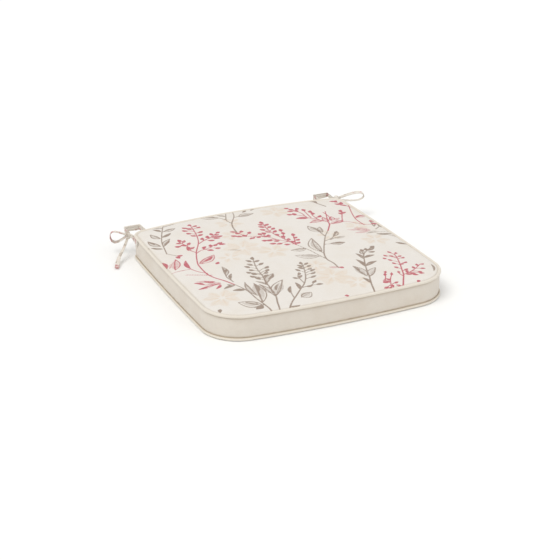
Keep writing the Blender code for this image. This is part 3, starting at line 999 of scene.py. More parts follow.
@dataclass
class StuffedForm:
    """The shape that the filling pushes the cover into, found with a cloth simulation.

    A slightly small, closed form of the pad is blown up with its two seams held, and the other
    pieces take their swell from it.

    Attributes:
        plan: The pad's outline.
        inset: How far inside the piping the form starts.
        grain: Size of the form's facets.
        pressure: How hard it is blown up.
        frames: How long it is blown up for.
        cap: The furthest that a point may move.
    """

    plan: PadPlan
    inset: float = 0.004
    grain: float = 0.006
    pressure: float = 4.0
    frames: int = 20
    cap: float = 0.006

    def start_form(self) -> Thing:
        """Makes the closed form before it is blown up.

        Returns:
            The form, remeshed.
        """
        rings = []
        base = self.plan.outline(240, self.inset)
        low = self.plan.base_seam
        floor = ((0.05, 0.0), (0.5, 0.0), (0.93, 0.0), (1.0, 0.2))  # each ring's size and height
        roof = [(share, 1 - height) for share, height in reversed(floor)]
        for share, height in (*floor, *roof):
            z = low + (self.plan.top_seam - low) * height
            rings.append(np.column_stack([base * share, np.full(len(base), z)]))
        points = np.stack(rings, axis=1)
        along = np.arange(len(base) + 1) * 1.0
        sheet = Sheet(points, along, np.arange(len(rings)) * 1.0, ring=True)
        form = make_piece("stuffed_form", [sheet], [rings[0][::-1], rings[-1]])
        remesh = form.modifiers.new("facets", "REMESH")
        remesh.mode = "VOXEL"
        remesh.voxel_size = self.grain
        applied(form)
        return form

    def hold_seams(self, form: Thing) -> None:
        """Holds the points near the two seams, where the piping keeps the cover in place.

        Args:
            form: The closed form.
        """
        held = form.vertex_groups.new(name="seams")
        tree = lookup(self.plan.outline(1200, self.inset))
        for vertex in form.data.vertices:
            x, y, z = vertex.co
            near_edge = tree.find((x, y, 0.0))[2]
            near_seam = min(abs(z - self.plan.top_seam), abs(z - self.plan.base_seam))
            if near_edge < self.grain * 1.2 and near_seam < self.grain * 0.9:
                held.add([vertex.index], 1.0, "REPLACE")

    def blow_up(self) -> tuple[np.ndarray, np.ndarray]:
        """Runs the simulation.

        Returns:
            Where the form's points start, and how far each one moves.
        """
        form = self.start_form()
        self.hold_seams(form)
        start = positions(form)
        cloth = form.modifiers.new("filling", "CLOTH")
        cloth.settings.quality = 6
        cloth.settings.mass = 0.3
        cloth.settings.tension_stiffness = 20.0
        cloth.settings.compression_stiffness = 20.0
        cloth.settings.bending_stiffness = 1.0
        cloth.settings.use_pressure = True
        cloth.settings.uniform_pressure_force = self.pressure
        cloth.settings.vertex_group_mass = "seams"
        cloth.settings.effector_weights.gravity = 0.0
        cloth.point_cache.frame_start = 1
        cloth.point_cache.frame_end = self.frames
        for step in range(1, self.frames + 1):
            bpy.context.scene.frame_set(step)
        applied(form)
        moved = positions(form) - start
        bpy.context.scene.frame_set(1)
        bpy.data.objects.remove(form, do_unlink=True)
        length = np.linalg.norm(moved, axis=1, keepdims=True)
        LOG.info("stuffed form: %d points, largest swell %.1f mm", len(start), length.max() / MM)
        return start, moved * np.minimum(1.0, self.cap / np.maximum(length, 1e-9))

    def swell(self) -> "Swell":
        """Returns:
            The swell.
        """
        return Swell(*self.blow_up())


class Swell:
    """Looks up how far the filling pushes the cover out at any point."""

    def __init__(self, start: np.ndarray, moved: np.ndarray) -> None:
        """Keeps the simulated points in a tree for looking up.

        Args:
            start: Where the points start.
            moved: How far each one moves.
        """
        self.moved = moved
        self.tree = lookup(start)

    def at(self, x: float, y: float, z: float, reach: float = 0.010) -> np.ndarray:
        """The average push of the simulated points within reach, nearer ones counting more.

        Args:
            x, y, z: The place.
            reach: How far off a point still counts.

        Returns:
            The push.
        """
        total, weight = np.zeros(3), 1e-9
        for _, index, distance in self.tree.find_range((x, y, z), reach):
            share = (1 - distance / reach) ** 2
            total += self.moved[index] * share
            weight += share
        return total / weight


def applied(thing: Thing) -> None:
    """Applies an object's modifiers to its mesh.

    Args:
        thing: The object.
    """
    graph = bpy.context.evaluated_depsgraph_get()
    mesh = bpy.data.meshes.new_from_object(thing.evaluated_get(graph))
    old = thing.data
    thing.modifiers.clear()
    thing.data = mesh
    bpy.data.meshes.remove(old)


# ---- The print -----------------------------------------------------------------------------


@dataclass(frozen=True)
class Leaf:
    """A printed leaf, from its base to its tip, in millimetres on the pad's plan."""

    base: Spot
    tip: Spot
    width: float
    fill: Fill = Fill.OUTLINE


@dataclass(frozen=True)
class Sprig:
    """A printed spray: a stem with side stalks that end in buds, and leaves.

    Attributes:
        ink: The ink it is printed in.
        stems: Lines of points, in millimetres, each from its thick end.
        buds: Where buds sit. Each hangs on a stalk from the nearest lower part of a stem.
        leaves: Its leaves.
        bud: Length and width of a bud, in millimetres.
        weight: Thickness of a stem at its thick end, in millimetres.
    """

    ink: Ink
    stems: tuple[tuple[Spot, ...], ...] = ()
    buds: tuple[Spot, ...] = ()
    leaves: tuple[Leaf, ...] = ()
    bud: Spot = (13.0, 8.2)
    weight: float = 3.2


SPRIGS = (
    # Pale flowers behind the sprays.
    *(
        Sprig(
            Ink.SAND,
            leaves=tuple(
                Leaf(
                    (x + 7 * cos(turn), y + 7 * sin(turn)),
                    (x + reach * cos(turn), y + reach * sin(turn)),
                    reach * 0.5,
                    Fill.WASH,
                )
                for turn in (start + step * 2 * pi / petals for step in range(petals))
            ),
        )
        for x, y, reach, petals, start in (
            (-70, 40, 40, 7, 0.2), (-22, 2, 34, 6, 0.9), (28, -150, 40, 7, 0.4), (20, -95, 26, 6, 0.1),
            (-40, 175, 30, 6, 0.5), (70, 195, 34, 6, 0.3), (185, -20, 30, 6, 0.7), (-195, -150, 36, 7, 0.1),
            (110, 30, 26, 5, 0.2), (-60, 110, 26, 6, 1.1), (185, 60, 26, 6, 0.2), (60, -190, 26, 6, 0.6),
            (-110, 10, 24, 5, 0.3),
        )
    ),
    # The tall rose spray on the left, and the taupe foot that it grows from.
    Sprig(
        Ink.ROSE,
        stems=(
            ((-153, -108), (-162, -85), (-172, -64), (-178, -40), (-177, 0), (-172, 22), (-157, 62),
             (-138, 98), (-128, 125), (-119, 165), (-113, 200)),
            ((-157, 60), (-163, 78), (-161, 96), (-166, 122)),
            ((-159, 57), (-146, 66), (-128, 70), (-106, 82)),
            ((-138, 97), (-122, 108), (-104, 118), (-84, 134)),
            ((-176, -38), (-187, -24), (-195, -4), (-194, 12)),
            ((-172, -50), (-190, -38), (-214, -22)),
            ((-197, -4), (-214, -1), (-235, 1)),
            ((-173, -92), (-195, -86), (-214, -66)),
            ((-176, -94), (-196, -92), (-216, -94)),
        ),
        buds=(
            (-113, 202), (-107, 191), (-129, 190), (-104, 180), (-135, 174), (-125, 179), (-134, 156),
            (-111, 153), (-116, 137), (-132, 140), (-121, 117), (-108, 103), (-108, 122), (-97, 133),
            (-80, 136), (-88, 127), (-97, 117), (-85, 117), (-94, 108), (-165, 131), (-157, 123),
            (-170, 119), (-177, 107), (-166, 105), (-153, 107), (-163, 91), (-155, 85), (-165, 84),
            (-134, 76), (-121, 80), (-110, 77), (-99, 84), (-97, 75), (-112, 62), (-129, 58),
            (-142, -4), (-190, 65), (-197, 58),
        ),
        leaves=(
            Leaf((-173, 8), (-131, 36), 20), Leaf((-168, 9), (-135, 30), 12, Fill.WASH),
            Leaf((-160, 14), (-136, 31), 7, Fill.SOLID), Leaf((-196, -2), (-189, 38), 9, Fill.SOLID),
            Leaf((-222, 8), (-204, 54), 13), Leaf((-221, 10), (-207, 48), 10, Fill.WASH),
            Leaf((-233, 24), (-230, 56), 8, Fill.SOLID), Leaf((-228, 22), (-214, 40), 6, Fill.WASH),
            Leaf((-182, -84), (-212, -60), 10, Fill.WASH), Leaf((-178, -80), (-197, -66), 7, Fill.SOLID),
            Leaf((-200, -82), (-215, -64), 7, Fill.SOLID), Leaf((-196, -90), (-219, -94), 7, Fill.SOLID),
            Leaf((-184, -92), (-208, -100), 7, Fill.WASH), Leaf((-174, -96), (-190, -110), 7, Fill.SOLID),
            Leaf((-172, -88), (-198, -84), 10, Fill.WASH),
        ),
    ),
    Sprig(
        Ink.TAUPE,
        stems=(
            ((-133, -232), (-136, -205), (-140, -180), (-142, -150), (-147, -126), (-153, -106)),
            ((-150, -98), (-149, -82), (-140, -64)),
            ((-150, -90), (-152, -72), (-146, -50), (-141, -28)),
            ((-137, -204), (-146, -212), (-158, -210)),
            ((-137, -198), (-131, -180), (-126, -160)),
        ),
        leaves=(
            Leaf((-149, -84), (-137, -60), 7, Fill.SOLID), Leaf((-150, -66), (-141, -22), 11),
            Leaf((-146, -52), (-138, -38), 8, Fill.SOLID), Leaf((-152, -112), (-178, -118), 9, Fill.SOLID),
            Leaf((-154, -112), (-165, -101), 6), Leaf((-145, -140), (-167, -132), 11, Fill.SOLID),
            Leaf((-140, -204), (-178, -181), 24), Leaf((-146, -202), (-166, -184), 11),
            Leaf((-140, -206), (-158, -217), 13, Fill.SOLID), Leaf((-134, -196), (-119, -118), 17),
            Leaf((-130, -176), (-118, -122), 12, Fill.WASH),
            Leaf((-128, -160), (-119, -120), 7, Fill.SOLID), Leaf((-134, -170), (-131, -106), 9),
            Leaf((-120, -150), (-110, -126), 12, Fill.WASH),
        ),
    ),
    # The leafy taupe stem at the back left.
    Sprig(
        Ink.TAUPE,
        stems=(
            ((-208, 86), (-204, 105), (-201, 120), (-196, 142), (-187, 166), (-174, 196), (-162, 222),
             (-152, 236)),
            ((-207, 86), (-201, 76), (-194, 64)),
        ),
        leaves=(
            Leaf((-200, 122), (-175, 151), 12), Leaf((-197, 128), (-178, 148), 6, Fill.SOLID),
            Leaf((-205, 125), (-218, 162), 13), Leaf((-212, 138), (-219, 158), 5, Fill.SOLID),
            Leaf((-205, 112), (-224, 130), 8, Fill.SOLID), Leaf((-188, 164), (-163, 177), 9, Fill.SOLID),
            Leaf((-192, 160), (-202, 190), 12), Leaf((-175, 190), (-145, 199), 12),
            Leaf((-170, 194), (-147, 198), 5, Fill.SOLID), Leaf((-178, 192), (-188, 215), 9, Fill.SOLID),
            Leaf((-163, 216), (-133, 234), 14, Fill.WASH), Leaf((-152, 226), (-131, 233), 7, Fill.SOLID),
            Leaf((-166, 212), (-182, 228), 9), Leaf((-227, 128), (-237, 142), 5, Fill.SOLID),
        ),
        weight=2.4,
    ),
    # Two taupe ferns at the front, left of the middle.
    Sprig(
        Ink.TAUPE,
        stems=(
            ((-118, -232), (-111, -207), (-103, -182), (-100, -158), (-97, -132), (-91, -98),
             (-86, -62), (-79, -34), (-73, -14)),
        ),
        buds=(
            (-73, -13), (-86, -22), (-70, -29), (-91, -38), (-69, -45), (-100, -46), (-98, -63),
            (-67, -63), (-107, -72), (-72, -76), (-101, -82), (-79, -86), (-108, -92), (-104, -104),
            (-84, -100),
        ),
        leaves=(
            Leaf((-98, -130), (-67, -94), 12), Leaf((-88, -116), (-68, -96), 7, Fill.SOLID),
            Leaf((-103, -183), (-63, -126), 20), Leaf((-98, -176), (-70, -136), 9, Fill.WASH),
            Leaf((-94, -164), (-78, -140), 5, Fill.SOLID), Leaf((-105, -184), (-112, -128), 10),
            Leaf((-107, -172), (-113, -136), 6, Fill.WASH), Leaf((-97, -140), (-114, -112), 6),
        ),
        bud=(13.5, 8.0),
    ),
    Sprig(
        Ink.TAUPE,
        stems=(
            ((-98, -232), (-84, -213), (-68, -196), (-52, -178), (-34, -158), (-21, -136), (-11, -112),
             (-3, -88), (0, -74)),
            ((-76, -204), (-72, -182), (-63, -160)),
            ((-34, -158), (-33, -140), (-32, -126)),
            ((-46, -172), (-28, -170), (-9, -172)),
        ),
        buds=(
            (0, -73), (-9, -84), (8, -80), (-12, -94), (8, -92), (-21, -100), (4, -104), (-25, -115),
            (6, -112), (1, -122), (-5, -138), (-40, -130), (-27, -128), (-14, -157), (-9, -172),
            (-30, -171),
        ),
        leaves=(
            Leaf((-52, -176), (-48, -146), 8, Fill.SOLID), Leaf((-74, -186), (-62, -157), 7, Fill.SOLID),
            Leaf((-63, -206), (-37, -195), 19), Leaf((-62, -206), (-40, -195), 15, Fill.WASH),
            Leaf((-96, -230), (-76, -230), 6, Fill.SOLID),
        ),
        bud=(13.5, 7.0),
    ),
    # The forked spray in the middle: taupe below, rose above.
    Sprig(
        Ink.TAUPE,
        stems=(
            ((55, -120), (56, -98), (53, -76), (58, -54), (67, -34), (78, -12), (90, 10), (103, 32),
             (118, 52)),
            ((53, -74), (47, -50), (42, -24), (36, -4), (31, 12)),
            ((60, -48), (58, -20), (64, 8), (72, 28)),
            ((80, -8), (100, -12), (118, -13)),
            ((100, 28), (100, 52), (98, 72)),
            ((88, 6), (110, 16), (131, 40)),
            ((102, 8), (118, 14), (134, 14)),
        ),
        leaves=(
            Leaf((46, -58), (4, -34), 20), Leaf((44, -56), (14, -42), 12, Fill.WASH),
            Leaf((40, -14), (8, -8), 16), Leaf((38, -14), (14, -10), 10, Fill.WASH),
            Leaf((59, -40), (72, 32), 22), Leaf((92, -10), (123, -14), 15),
            Leaf((100, -12), (122, -15), 8, Fill.SOLID), Leaf((114, 20), (133, 44), 10),
            Leaf((124, 34), (133, 42), 6, Fill.SOLID), Leaf((110, 12), (138, 14), 10, Fill.WASH),
            Leaf((102, 50), (92, 92), 16), Leaf((101, 58), (94, 86), 10, Fill.WASH),
            Leaf((104, 48), (112, 78), 12),
        ),
    ),
    Sprig(
        Ink.ROSE,
        stems=(
            ((118, 52), (128, 68), (136, 82), (140, 98), (148, 118), (160, 150)),
            ((136, 82), (156, 82), (174, 86), (190, 72), (206, 58)),
            ((201, 58), (200, 90), (206, 118), (216, 150), (229, 186)),
            ((140, 92), (128, 108), (126, 136), (133, 160)),
            ((128, 112), (112, 132), (112, 160), (104, 190)),
            ((118, 128), (120, 150), (123, 172)),
            ((112, 140), (104, 150), (92, 162)),
            ((168, 88), (176, 106), (184, 122), (192, 140)),
            ((150, 100), (154, 124), (153, 146)),
            ((204, 100), (216, 108), (228, 112)),
            ((222, 160), (212, 178), (204, 198)),
        ),
        buds=(
            (98, 204), (104, 192), (115, 190), (110, 178), (123, 176), (132, 160), (130, 148),
            (88, 165), (96, 162), (98, 183), (136, 128), (192, 143), (184, 130), (193, 132),
            (200, 200), (208, 198), (213, 186), (204, 182), (212, 172), (226, 74), (226, 60),
        ),
        leaves=(
            Leaf((112, 128), (88, 138), 12, Fill.SOLID), Leaf((140, 84), (172, 90), 14, Fill.WASH),
            Leaf((146, 84), (174, 96), 9), Leaf((142, 96), (140, 122), 12), Leaf((148, 98), (158, 120), 13),
            Leaf((158, 96), (172, 108), 9, Fill.WASH), Leaf((134, 104), (102, 103), 12),
            Leaf((128, 108), (112, 118), 8, Fill.WASH), Leaf((208, 100), (230, 112), 11, Fill.WASH),
            Leaf((205, 104), (226, 110), 5, Fill.SOLID), Leaf((200, 26), (164, 40), 20, Fill.WASH),
            Leaf((196, 26), (160, 22), 10, Fill.WASH), Leaf((192, 32), (170, 48), 8, Fill.WASH),
            Leaf((178, 36), (154, 43), 8, Fill.WASH), Leaf((64, -126), (56, -118), 8, Fill.SOLID),
            Leaf((56, -118), (39, -109), 9, Fill.WASH),
        ),
        bud=(13.5, 8.6),
    ),
    # The broad rose spike left of it.
    Sprig(
        Ink.ROSE,
        stems=(
            ((31, 12), (26, 32), (20, 56), (14, 84), (14, 112), (18, 142)),
            ((30, 14), (38, 36), (46, 60)),
            ((26, 30), (8, 52), (-8, 76), (-30, 88), (-50, 98)),
            ((22, 48), (30, 72), (34, 92)),
            ((-40, 92), (-44, 108), (-48, 122)),
        ),
        buds=(
            (18, 147), (10, 137), (23, 131), (7, 125), (23, 118), (3, 110), (26, 107), (8, 95),
            (23, 92), (34, 94), (2, 76), (17, 74), (33, 76), (-3, 92), (-10, 92), (-9, 76), (-20, 78),
            (-33, 77), (-17, 57), (-8, 52), (4, 46), (24, 60), (-8, 37), (3, 30), (15, 22), (46, 62),
            (45, 46), (44, 35), (32, 30), (38, 21), (-25, 108), (-38, 121), (-48, 116), (-53, 98),
            (-40, 98), (-54, 126), (-60, 106), (28, 44),
        ),
        bud=(13.0, 8.6),
    ),
    # The forked taupe stem at the back, whose head the seam cuts off.
    Sprig(
        Ink.TAUPE,
        stems=(
            ((-47, 122), (-43, 148), (-36, 170), (-26, 188), (-14, 210), (-6, 236)),
            ((-36, 170), (-38, 192), (-30, 214), (-20, 238)),
            ((-38, 196), (-44, 212), (-54, 228)),
            ((-18, 202), (0, 204), (16, 206)),
        ),
        leaves=(
            Leaf((-46, 214), (-78, 238), 17), Leaf((-50, 220), (-72, 236), 11, Fill.WASH),
            Leaf((-8, 202), (28, 206), 18), Leaf((-4, 202), (24, 206), 12, Fill.WASH),
            Leaf((-30, 216), (-40, 238), 8), Leaf((10, 222), (22, 238), 7, Fill.SOLID),
            Leaf((30, 226), (44, 238), 7, Fill.SOLID),
        ),
    ),
    # The taupe spray right of the middle.
    Sprig(
        Ink.TAUPE,
        stems=(
            ((72, -233), (80, -205), (89, -180), (98, -152), (107, -128), (117, -104), (127, -84),
             (140, -70), (152, -60)),
        ),
        buds=((143, -63), (132, -64), (160, -56), (147, -78)),
        leaves=(
            Leaf((86, -176), (82, -123), 15), Leaf((87, -170), (83, -130), 9, Fill.WASH),
            Leaf((84, -150), (82, -126), 6, Fill.SOLID), Leaf((92, -178), (120, -146), 15),
            Leaf((80, -202), (75, -176), 7, Fill.SOLID), Leaf((106, -134), (136, -122), 10, Fill.SOLID),
            Leaf((103, -136), (101, -98), 8, Fill.SOLID), Leaf((119, -100), (146, -94), 9, Fill.SOLID),
            Leaf((116, -104), (114, -72), 8, Fill.SOLID), Leaf((126, -86), (131, -62), 8),
            Leaf((140, -70), (164, -56), 8, Fill.SOLID),
        ),
    ),
    # The rose spray at the front right.
    Sprig(
        Ink.ROSE,
        stems=(
            ((132, -232), (143, -212), (153, -194), (161, -172), (169, -150), (176, -128), (181, -108),
             (178, -94)),
            ((153, -194), (172, -188), (188, -178), (204, -164)),
            ((150, -198), (148, -188), (150, -178)),
            ((112, -222), (120, -204), (132, -186), (136, -178)),
            ((104, -208), (114, -196), (126, -172)),
        ),
        buds=(
            (178, -91), (187, -99), (162, -105), (171, -111), (154, -117), (159, -128), (188, -116),
            (189, -124), (160, -144), (182, -147), (173, -153), (154, -162), (168, -178), (184, -174),
            (198, -165), (209, -163), (200, -184), (188, -194), (188, -201), (172, -196), (174, -203),
            (165, -184), (163, -197), (149, -181), (127, -172), (120, -181), (134, -184), (108, -203),
            (106, -211), (116, -202), (113, -209), (99, -229), (112, -226), (107, -232), (126, -218),
            (124, -229), (168, -226), (17, -230),
        ),
        bud=(10.5, 6.4),
    ),
    # Stems that the right and back seams cut off.
    Sprig(
        Ink.TAUPE,
        stems=(
            ((174, 176), (169, 196), (166, 216), (172, 232)),
            ((184, 14), (212, 14), (236, 8)),
            ((212, 30), (228, 44), (238, 60)),
        ),
        leaves=(
            Leaf((168, 204), (174, 232), 9, Fill.SOLID), Leaf((166, 212), (158, 234), 8),
            Leaf((186, 14), (212, 20), 8, Fill.WASH), Leaf((200, 6), (234, -1), 9, Fill.SOLID),
            Leaf((220, -8), (240, -18), 9, Fill.WASH), Leaf((214, -47), (236, -60), 9, Fill.SOLID),
            Leaf((228, 36), (238, 64), 7, Fill.SOLID), Leaf((216, 44), (222, 74), 8),
            Leaf((236, -14), (240, -44), 5, Fill.SOLID), Leaf((239, -58), (237, -84), 5, Fill.SOLID),
            Leaf((226, -168), (214, -200), 5, Fill.SOLID), Leaf((-215, -189), (-220, -200), 8, Fill.SOLID),
            Leaf((-98, 44), (-76, 30), 6, Fill.WASH),
        ),
    ),
)


class Print:
    """Turns the sprigs into distances to their lines and washes, point by point."""

    def __init__(self, plan_points: np.ndarray) -> None:
        """Starts with every point far from any ink.

        Args:
            plan_points: The points in the plan, in metres.
        """
        self.points = plan_points / MM
        far = np.full(len(plan_points), 9.0)
        self.layers = {(ink, layer): far.copy() for ink in Ink for layer in ("line", "wash")}
        self.turns = 0

    def near(self, corners: np.ndarray, margin: float) -> np.ndarray:
        """The points within a margin of some corners' box.

        Args:
            corners: The corners.
            margin: The margin in millimetres.

        Returns:
            The points' indices.
        """
        low, high = corners.min(0) - margin, corners.max(0) + margin
        inside = np.all((self.points > low) & (self.points < high), axis=1)
        return np.nonzero(inside)[0]

    def lower(self, ink: Ink, layer: str, index: np.ndarray, distance: np.ndarray) -> None:
        """Keeps the smaller of the old and the new distance."""
        kept = self.layers[ink, layer]
        kept[index] = np.minimum(kept[index], distance)

    def stroke(self, ink: Ink, line: np.ndarray, thick: float, thin: float) -> None:
        """Draws a line that tapers from its first point to its last.

        Args:
            ink: The ink.
            line: Its points in millimetres.
            thick: Its width at the first point.
            thin: Its width at the last.
        """
        index = self.near(line, 5.0)
        if not len(index):
            return
        points = self.points[index]
        best = np.full(len(index), 9.0)
        count = len(line) - 1
        for step in range(count):
            start, span = line[step], line[step + 1] - line[step]
            share = np.clip(((points - start) @ span) / max(span @ span, 1e-9), 0, 1)
            away = np.linalg.norm(points - start - share[:, None] * span, axis=1)
            half = (thick + (thin - thick) * (step + share) / count) / 2
            best = np.minimum(best, away - half)
        self.lower(ink, "line", index, best)

    def blade(self, base: np.ndarray, tip: np.ndarray, width: float) -> tuple[np.ndarray, np.ndarray]:
        """Distances to a leaf's edge, negative inside.

        Args:
            base: Where the leaf starts.
            tip: Where it ends.
            width: Its greatest width.

        Returns:
            The indices of the points near it, and their distances.
        """
        axis = tip - base
        length = np.linalg.norm(axis)
        along = axis / length
        across = np.array([-along[1], along[0]])
        index = self.near(np.array([base, tip]), width)
        offset = self.points[index] - base
        share = (offset @ along) / length
        bend = 0.08 * length * np.sin(np.clip(share, 0, 1) * pi)
        side = offset @ across - bend * (1 if self.turns % 2 else -1)
        inside = np.clip(share, 0.0, 1.0)
        profile = width / 2 * np.sin(pi * inside**0.85) ** 0.9
        beyond = np.maximum(np.maximum(-share, share - 1), 0) * length
        edge = (np.abs(side) - profile) * 0.85
        return index, np.where(beyond > 0, np.hypot(np.maximum(edge, 0), beyond), edge)

    def leaf(self, ink: Ink, leaf: Leaf) -> None:
        """Draws one leaf in its own way, with a vein if it is an outline.

        Args:
            ink: The ink.
            leaf: The leaf.
        """
        self.turns += 1
        base, tip = np.array(leaf.base, float), np.array(leaf.tip, float)
        index, distance = self.blade(base, tip, leaf.width)
        if leaf.fill is Fill.OUTLINE:
            half_line = 1.05
            self.lower(ink, "line", index, np.abs(distance + half_line) - half_line)
            self.lower(ink, "wash", index, distance + leaf.width * 0.22)
            self.stroke(ink, np.array([base, base + (tip - base) * 0.8]), 1.5, 0.7)
        elif leaf.fill is Fill.WASH:
            self.lower(ink, "wash", index, distance)
            self.stroke(ink, np.array([base, base + (tip - base) * 0.7]), 1.4, 0.5)
        else:
            self.lower(ink, "line", index, distance)

    def bud(self, sprig: Sprig, lines: list[np.ndarray], spot: Spot) -> None:
        """Draws a bud, leaning away from the stem, and the stalk that joins it on.

        Args:
            sprig: The spray that it belongs to.
            lines: The spray's stems.
            spot: Where the bud sits.
        """
        centre = np.array(spot, float)
        reach = 26.0
        best, root, heading = 1e9, None, np.array([0.0, 1.0])
        for line in lines:
            away = centre - line
            distance = np.linalg.norm(away, axis=1)
            direction = np.gradient(line, axis=0)
            direction /= np.maximum(np.linalg.norm(direction, axis=1, keepdims=True), 1e-9)
            ahead = np.sum(away * direction, axis=1)
            score = distance + np.abs(ahead - 0.7 * distance)
            pick = int(np.argmin(score))
            if score[pick] < best:
                best, root, heading = score[pick], line[pick], direction[pick]
        out = centre - root
        gap = np.linalg.norm(out)
        lean = out / gap if gap > 3 else heading
        facing = lean + 0.35 * heading
        facing /= np.linalg.norm(facing)
        length, width = sprig.bud
        length *= 0.85 + 0.3 * abs(sin(spot[0] * 1.7 + spot[1]))
        self.turns += 1
        index, distance = self.blade(centre - facing * length / 2, centre + facing * length / 2, width)
        self.lower(sprig.ink, "line", index, distance)
        if 3 < gap < reach:
            middle = (root + centre) / 2 + heading * gap * 0.08
            stalk = smooth_line([tuple(root), tuple(middle), tuple(centre)], 4)
            self.stroke(sprig.ink, stalk, 2.0, 1.8)

    def draw(self, sprigs: tuple[Sprig, ...]) -> dict[str, np.ndarray]:
        """Draws every sprig.

        Args:
            sprigs: The sprigs.

        Returns:
            For each ink and layer, the distance of each point in metres, negative inside.
        """
        for sprig in sprigs:
            lines = [smooth_line(list(stem), 8) for stem in sprig.stems]
            for number, line in enumerate(lines):
                thick = sprig.weight * (1.0 if number == 0 else 0.75)
                self.stroke(sprig.ink, line, thick, 2.0)
            for leaf in sprig.leaves:
                self.leaf(sprig.ink, leaf)
            for spot in sprig.buds:
                self.bud(sprig, lines, spot)
        return {f"{ink.value}_{layer}": far * MM for (ink, layer), far in self.layers.items()}


# ---- The cover -----------------------------------------------------------------------------


@dataclass
class TopPanel:
    """The printed panel on top, crowned by the filling under it.

    Attributes:
        plan: The pad's outline.
        swell: How far the filling pushes the cover out.
        inset: Where the panel meets the piping, in from the middle of the piping.
        cloth: Thickness of the linen.
        across: Number of facets from side to side.
        deep: Number of facets from front to back.
        roll: Height of the rounded edge beside the piping.
        roll_width: How quickly the edge rounds over.
        pucker: Depth of the small gathers along the seam.
        push_share: How much of the filling's push the panel takes.
    """

    plan: PadPlan
    swell: Swell
    inset: float = 0.0026
    cloth: float = 0.0008
    across: int = 316
    deep: int = 268
    roll: float = 0.0022
    roll_width: float = 0.0045
    pucker: float = 0.00035
    push_share: float = 0.15

    @staticmethod
    def eased(count: int) -> np.ndarray:
        """Shares of the way along a side, closer together near its ends."""
        share = np.linspace(0, 1, count + 1)
        return share - 0.055 * np.sin(2 * pi * share)

    def grid(self) -> np.ndarray:
        """Spreads a grid over the plan between its four sides, finest near the seam.

        Returns:
            The grid's points in the plan, in rows from front to back.
        """
        sides = []
        for number in range(4):
            share = self.eased(self.across if number % 2 == 0 else self.deep)
            line = self.plan.side(number)
            at = arc_length(line) / arc_length(line)[-1]
            spread = np.stack([np.interp(share, at, line[:, axis]) for axis in (0, 1)], axis=1)
            sides.append(spread - outward(spread, False) * self.inset)
        front, right, back, left = sides[0], sides[1], sides[2][::-1], sides[3][::-1]
        u = self.eased(self.across)[None, :, None]
        v = self.eased(self.deep)[:, None, None]
        front_left = (front[0] + left[0]) / 2
        front_right = (front[-1] + right[0]) / 2
        back_right = (back[-1] + right[-1]) / 2
        back_left = (back[0] + left[-1]) / 2
        front[0] = left[0] = front_left
        front[-1] = right[0] = front_right
        back[-1] = right[-1] = back_right
        back[0] = left[-1] = back_left
        lofted = (1 - v) * front[None] + v * back[None]
        crossed = (1 - u) * left[:, None] + u * right[:, None]
        blended = (
            (1 - u) * (1 - v) * front_left
            + u * (1 - v) * front_right
            + u * v * back_right
            + (1 - u) * v * back_left
        )
        return lofted + crossed - blended

    def from_seam(self, flat: np.ndarray) -> tuple[np.ndarray, np.ndarray]:
        """Finds the nearest part of the seam.

        Args:
            flat: Points in the plan.

        Returns:
            Each point's distance from the seam, and how far round the seam that is, from 0 to 1.
        """
        edge = self.plan.outline(2400, self.inset)
        tree = lookup(edge)
        found = [tree.find((x, y, 0.0)) for x, y in flat]
        return np.array([hit[2] for hit in found]), np.array([hit[1] for hit in found]) / len(edge)

    def heights(self, flat: np.ndarray) -> np.ndarray:
        """Works out the panel's height over its plan.

        Args:
            flat: Points in the plan.

        Returns:
            The height of each point.
        """
        away, along = self.from_seam(flat)
        crease = self.plan.top_seam + self.plan.piping_radius * 0.42
        share = 1 - away / 0.235
        rise = self.plan.crown_top - self.plan.top_seam - self.plan.piping_radius
        crown = rise * (1 - np.clip(share, 0, 1) ** 3.2)
        rounded = self.roll * (1 - np.exp(-away / self.roll_width))
        pushed = np.array([self.swell.at(x, y, self.plan.top_seam)[2] for x, y in flat[::7]])
        pushed = np.interp(np.arange(len(flat)), np.arange(len(flat))[::7], pushed)
        pushed = pushed * smoothstep(0.0, 0.02, away) * self.push_share
        gathers = np.sin(along * 2 * pi * 74 + 2.2 * np.sin(along * 2 * pi * 9))
        gathers = gathers * self.pucker * smoothstep(0.0, 0.004, away) * np.exp(-away / 0.010)
        lumps = np.array([ripple(x, y, 0.3, 0.055) for x, y in flat]) * 0.0007
        return crease + rounded + crown + pushed + gathers + lumps * smoothstep(0.0, 0.03, away)

    def build(self) -> Thing:
        """Makes the panel, with the print kept on its points.

        Returns:
            The panel.
        """
        flat = self.grid()
        rows, columns = flat.shape[:2]
        height = self.heights(flat.reshape(-1, 2))
        upper = np.dstack([flat, height.reshape(rows, columns)])
        lay_x = flat[rows // 2, :, 0]
        lay_y = flat[:, columns // 2, 1]
        sheets = [Sheet(upper, lay_y, lay_x)]
        rim = np.vstack([upper[0, :-1], upper[:-1, -1], upper[-1, :0:-1], upper[:0:-1, 0]])
        lower = [rim]
        for share in (1.0, 0.985, 0.94, 0.8, 0.5, 0.15):
            ring = rim * np.array([share, share, 1.0])
            inner = self.height_above(upper, ring) - self.cloth
            lower.append(np.column_stack([ring[:, :2], inner]))
        under = np.stack(lower, axis=1)
        around = np.linspace(0, 2.0, len(rim) + 1)
        sheets.append(Sheet(under, around, np.arange(len(lower)) * 0.01, ring=True))
        panel = make_piece("top_panel_cloth", sheets, [lower[-1][::-1]])
        self.print_on(panel)
        return settle(panel, PRINTED, "printed_linen", "top_panel")

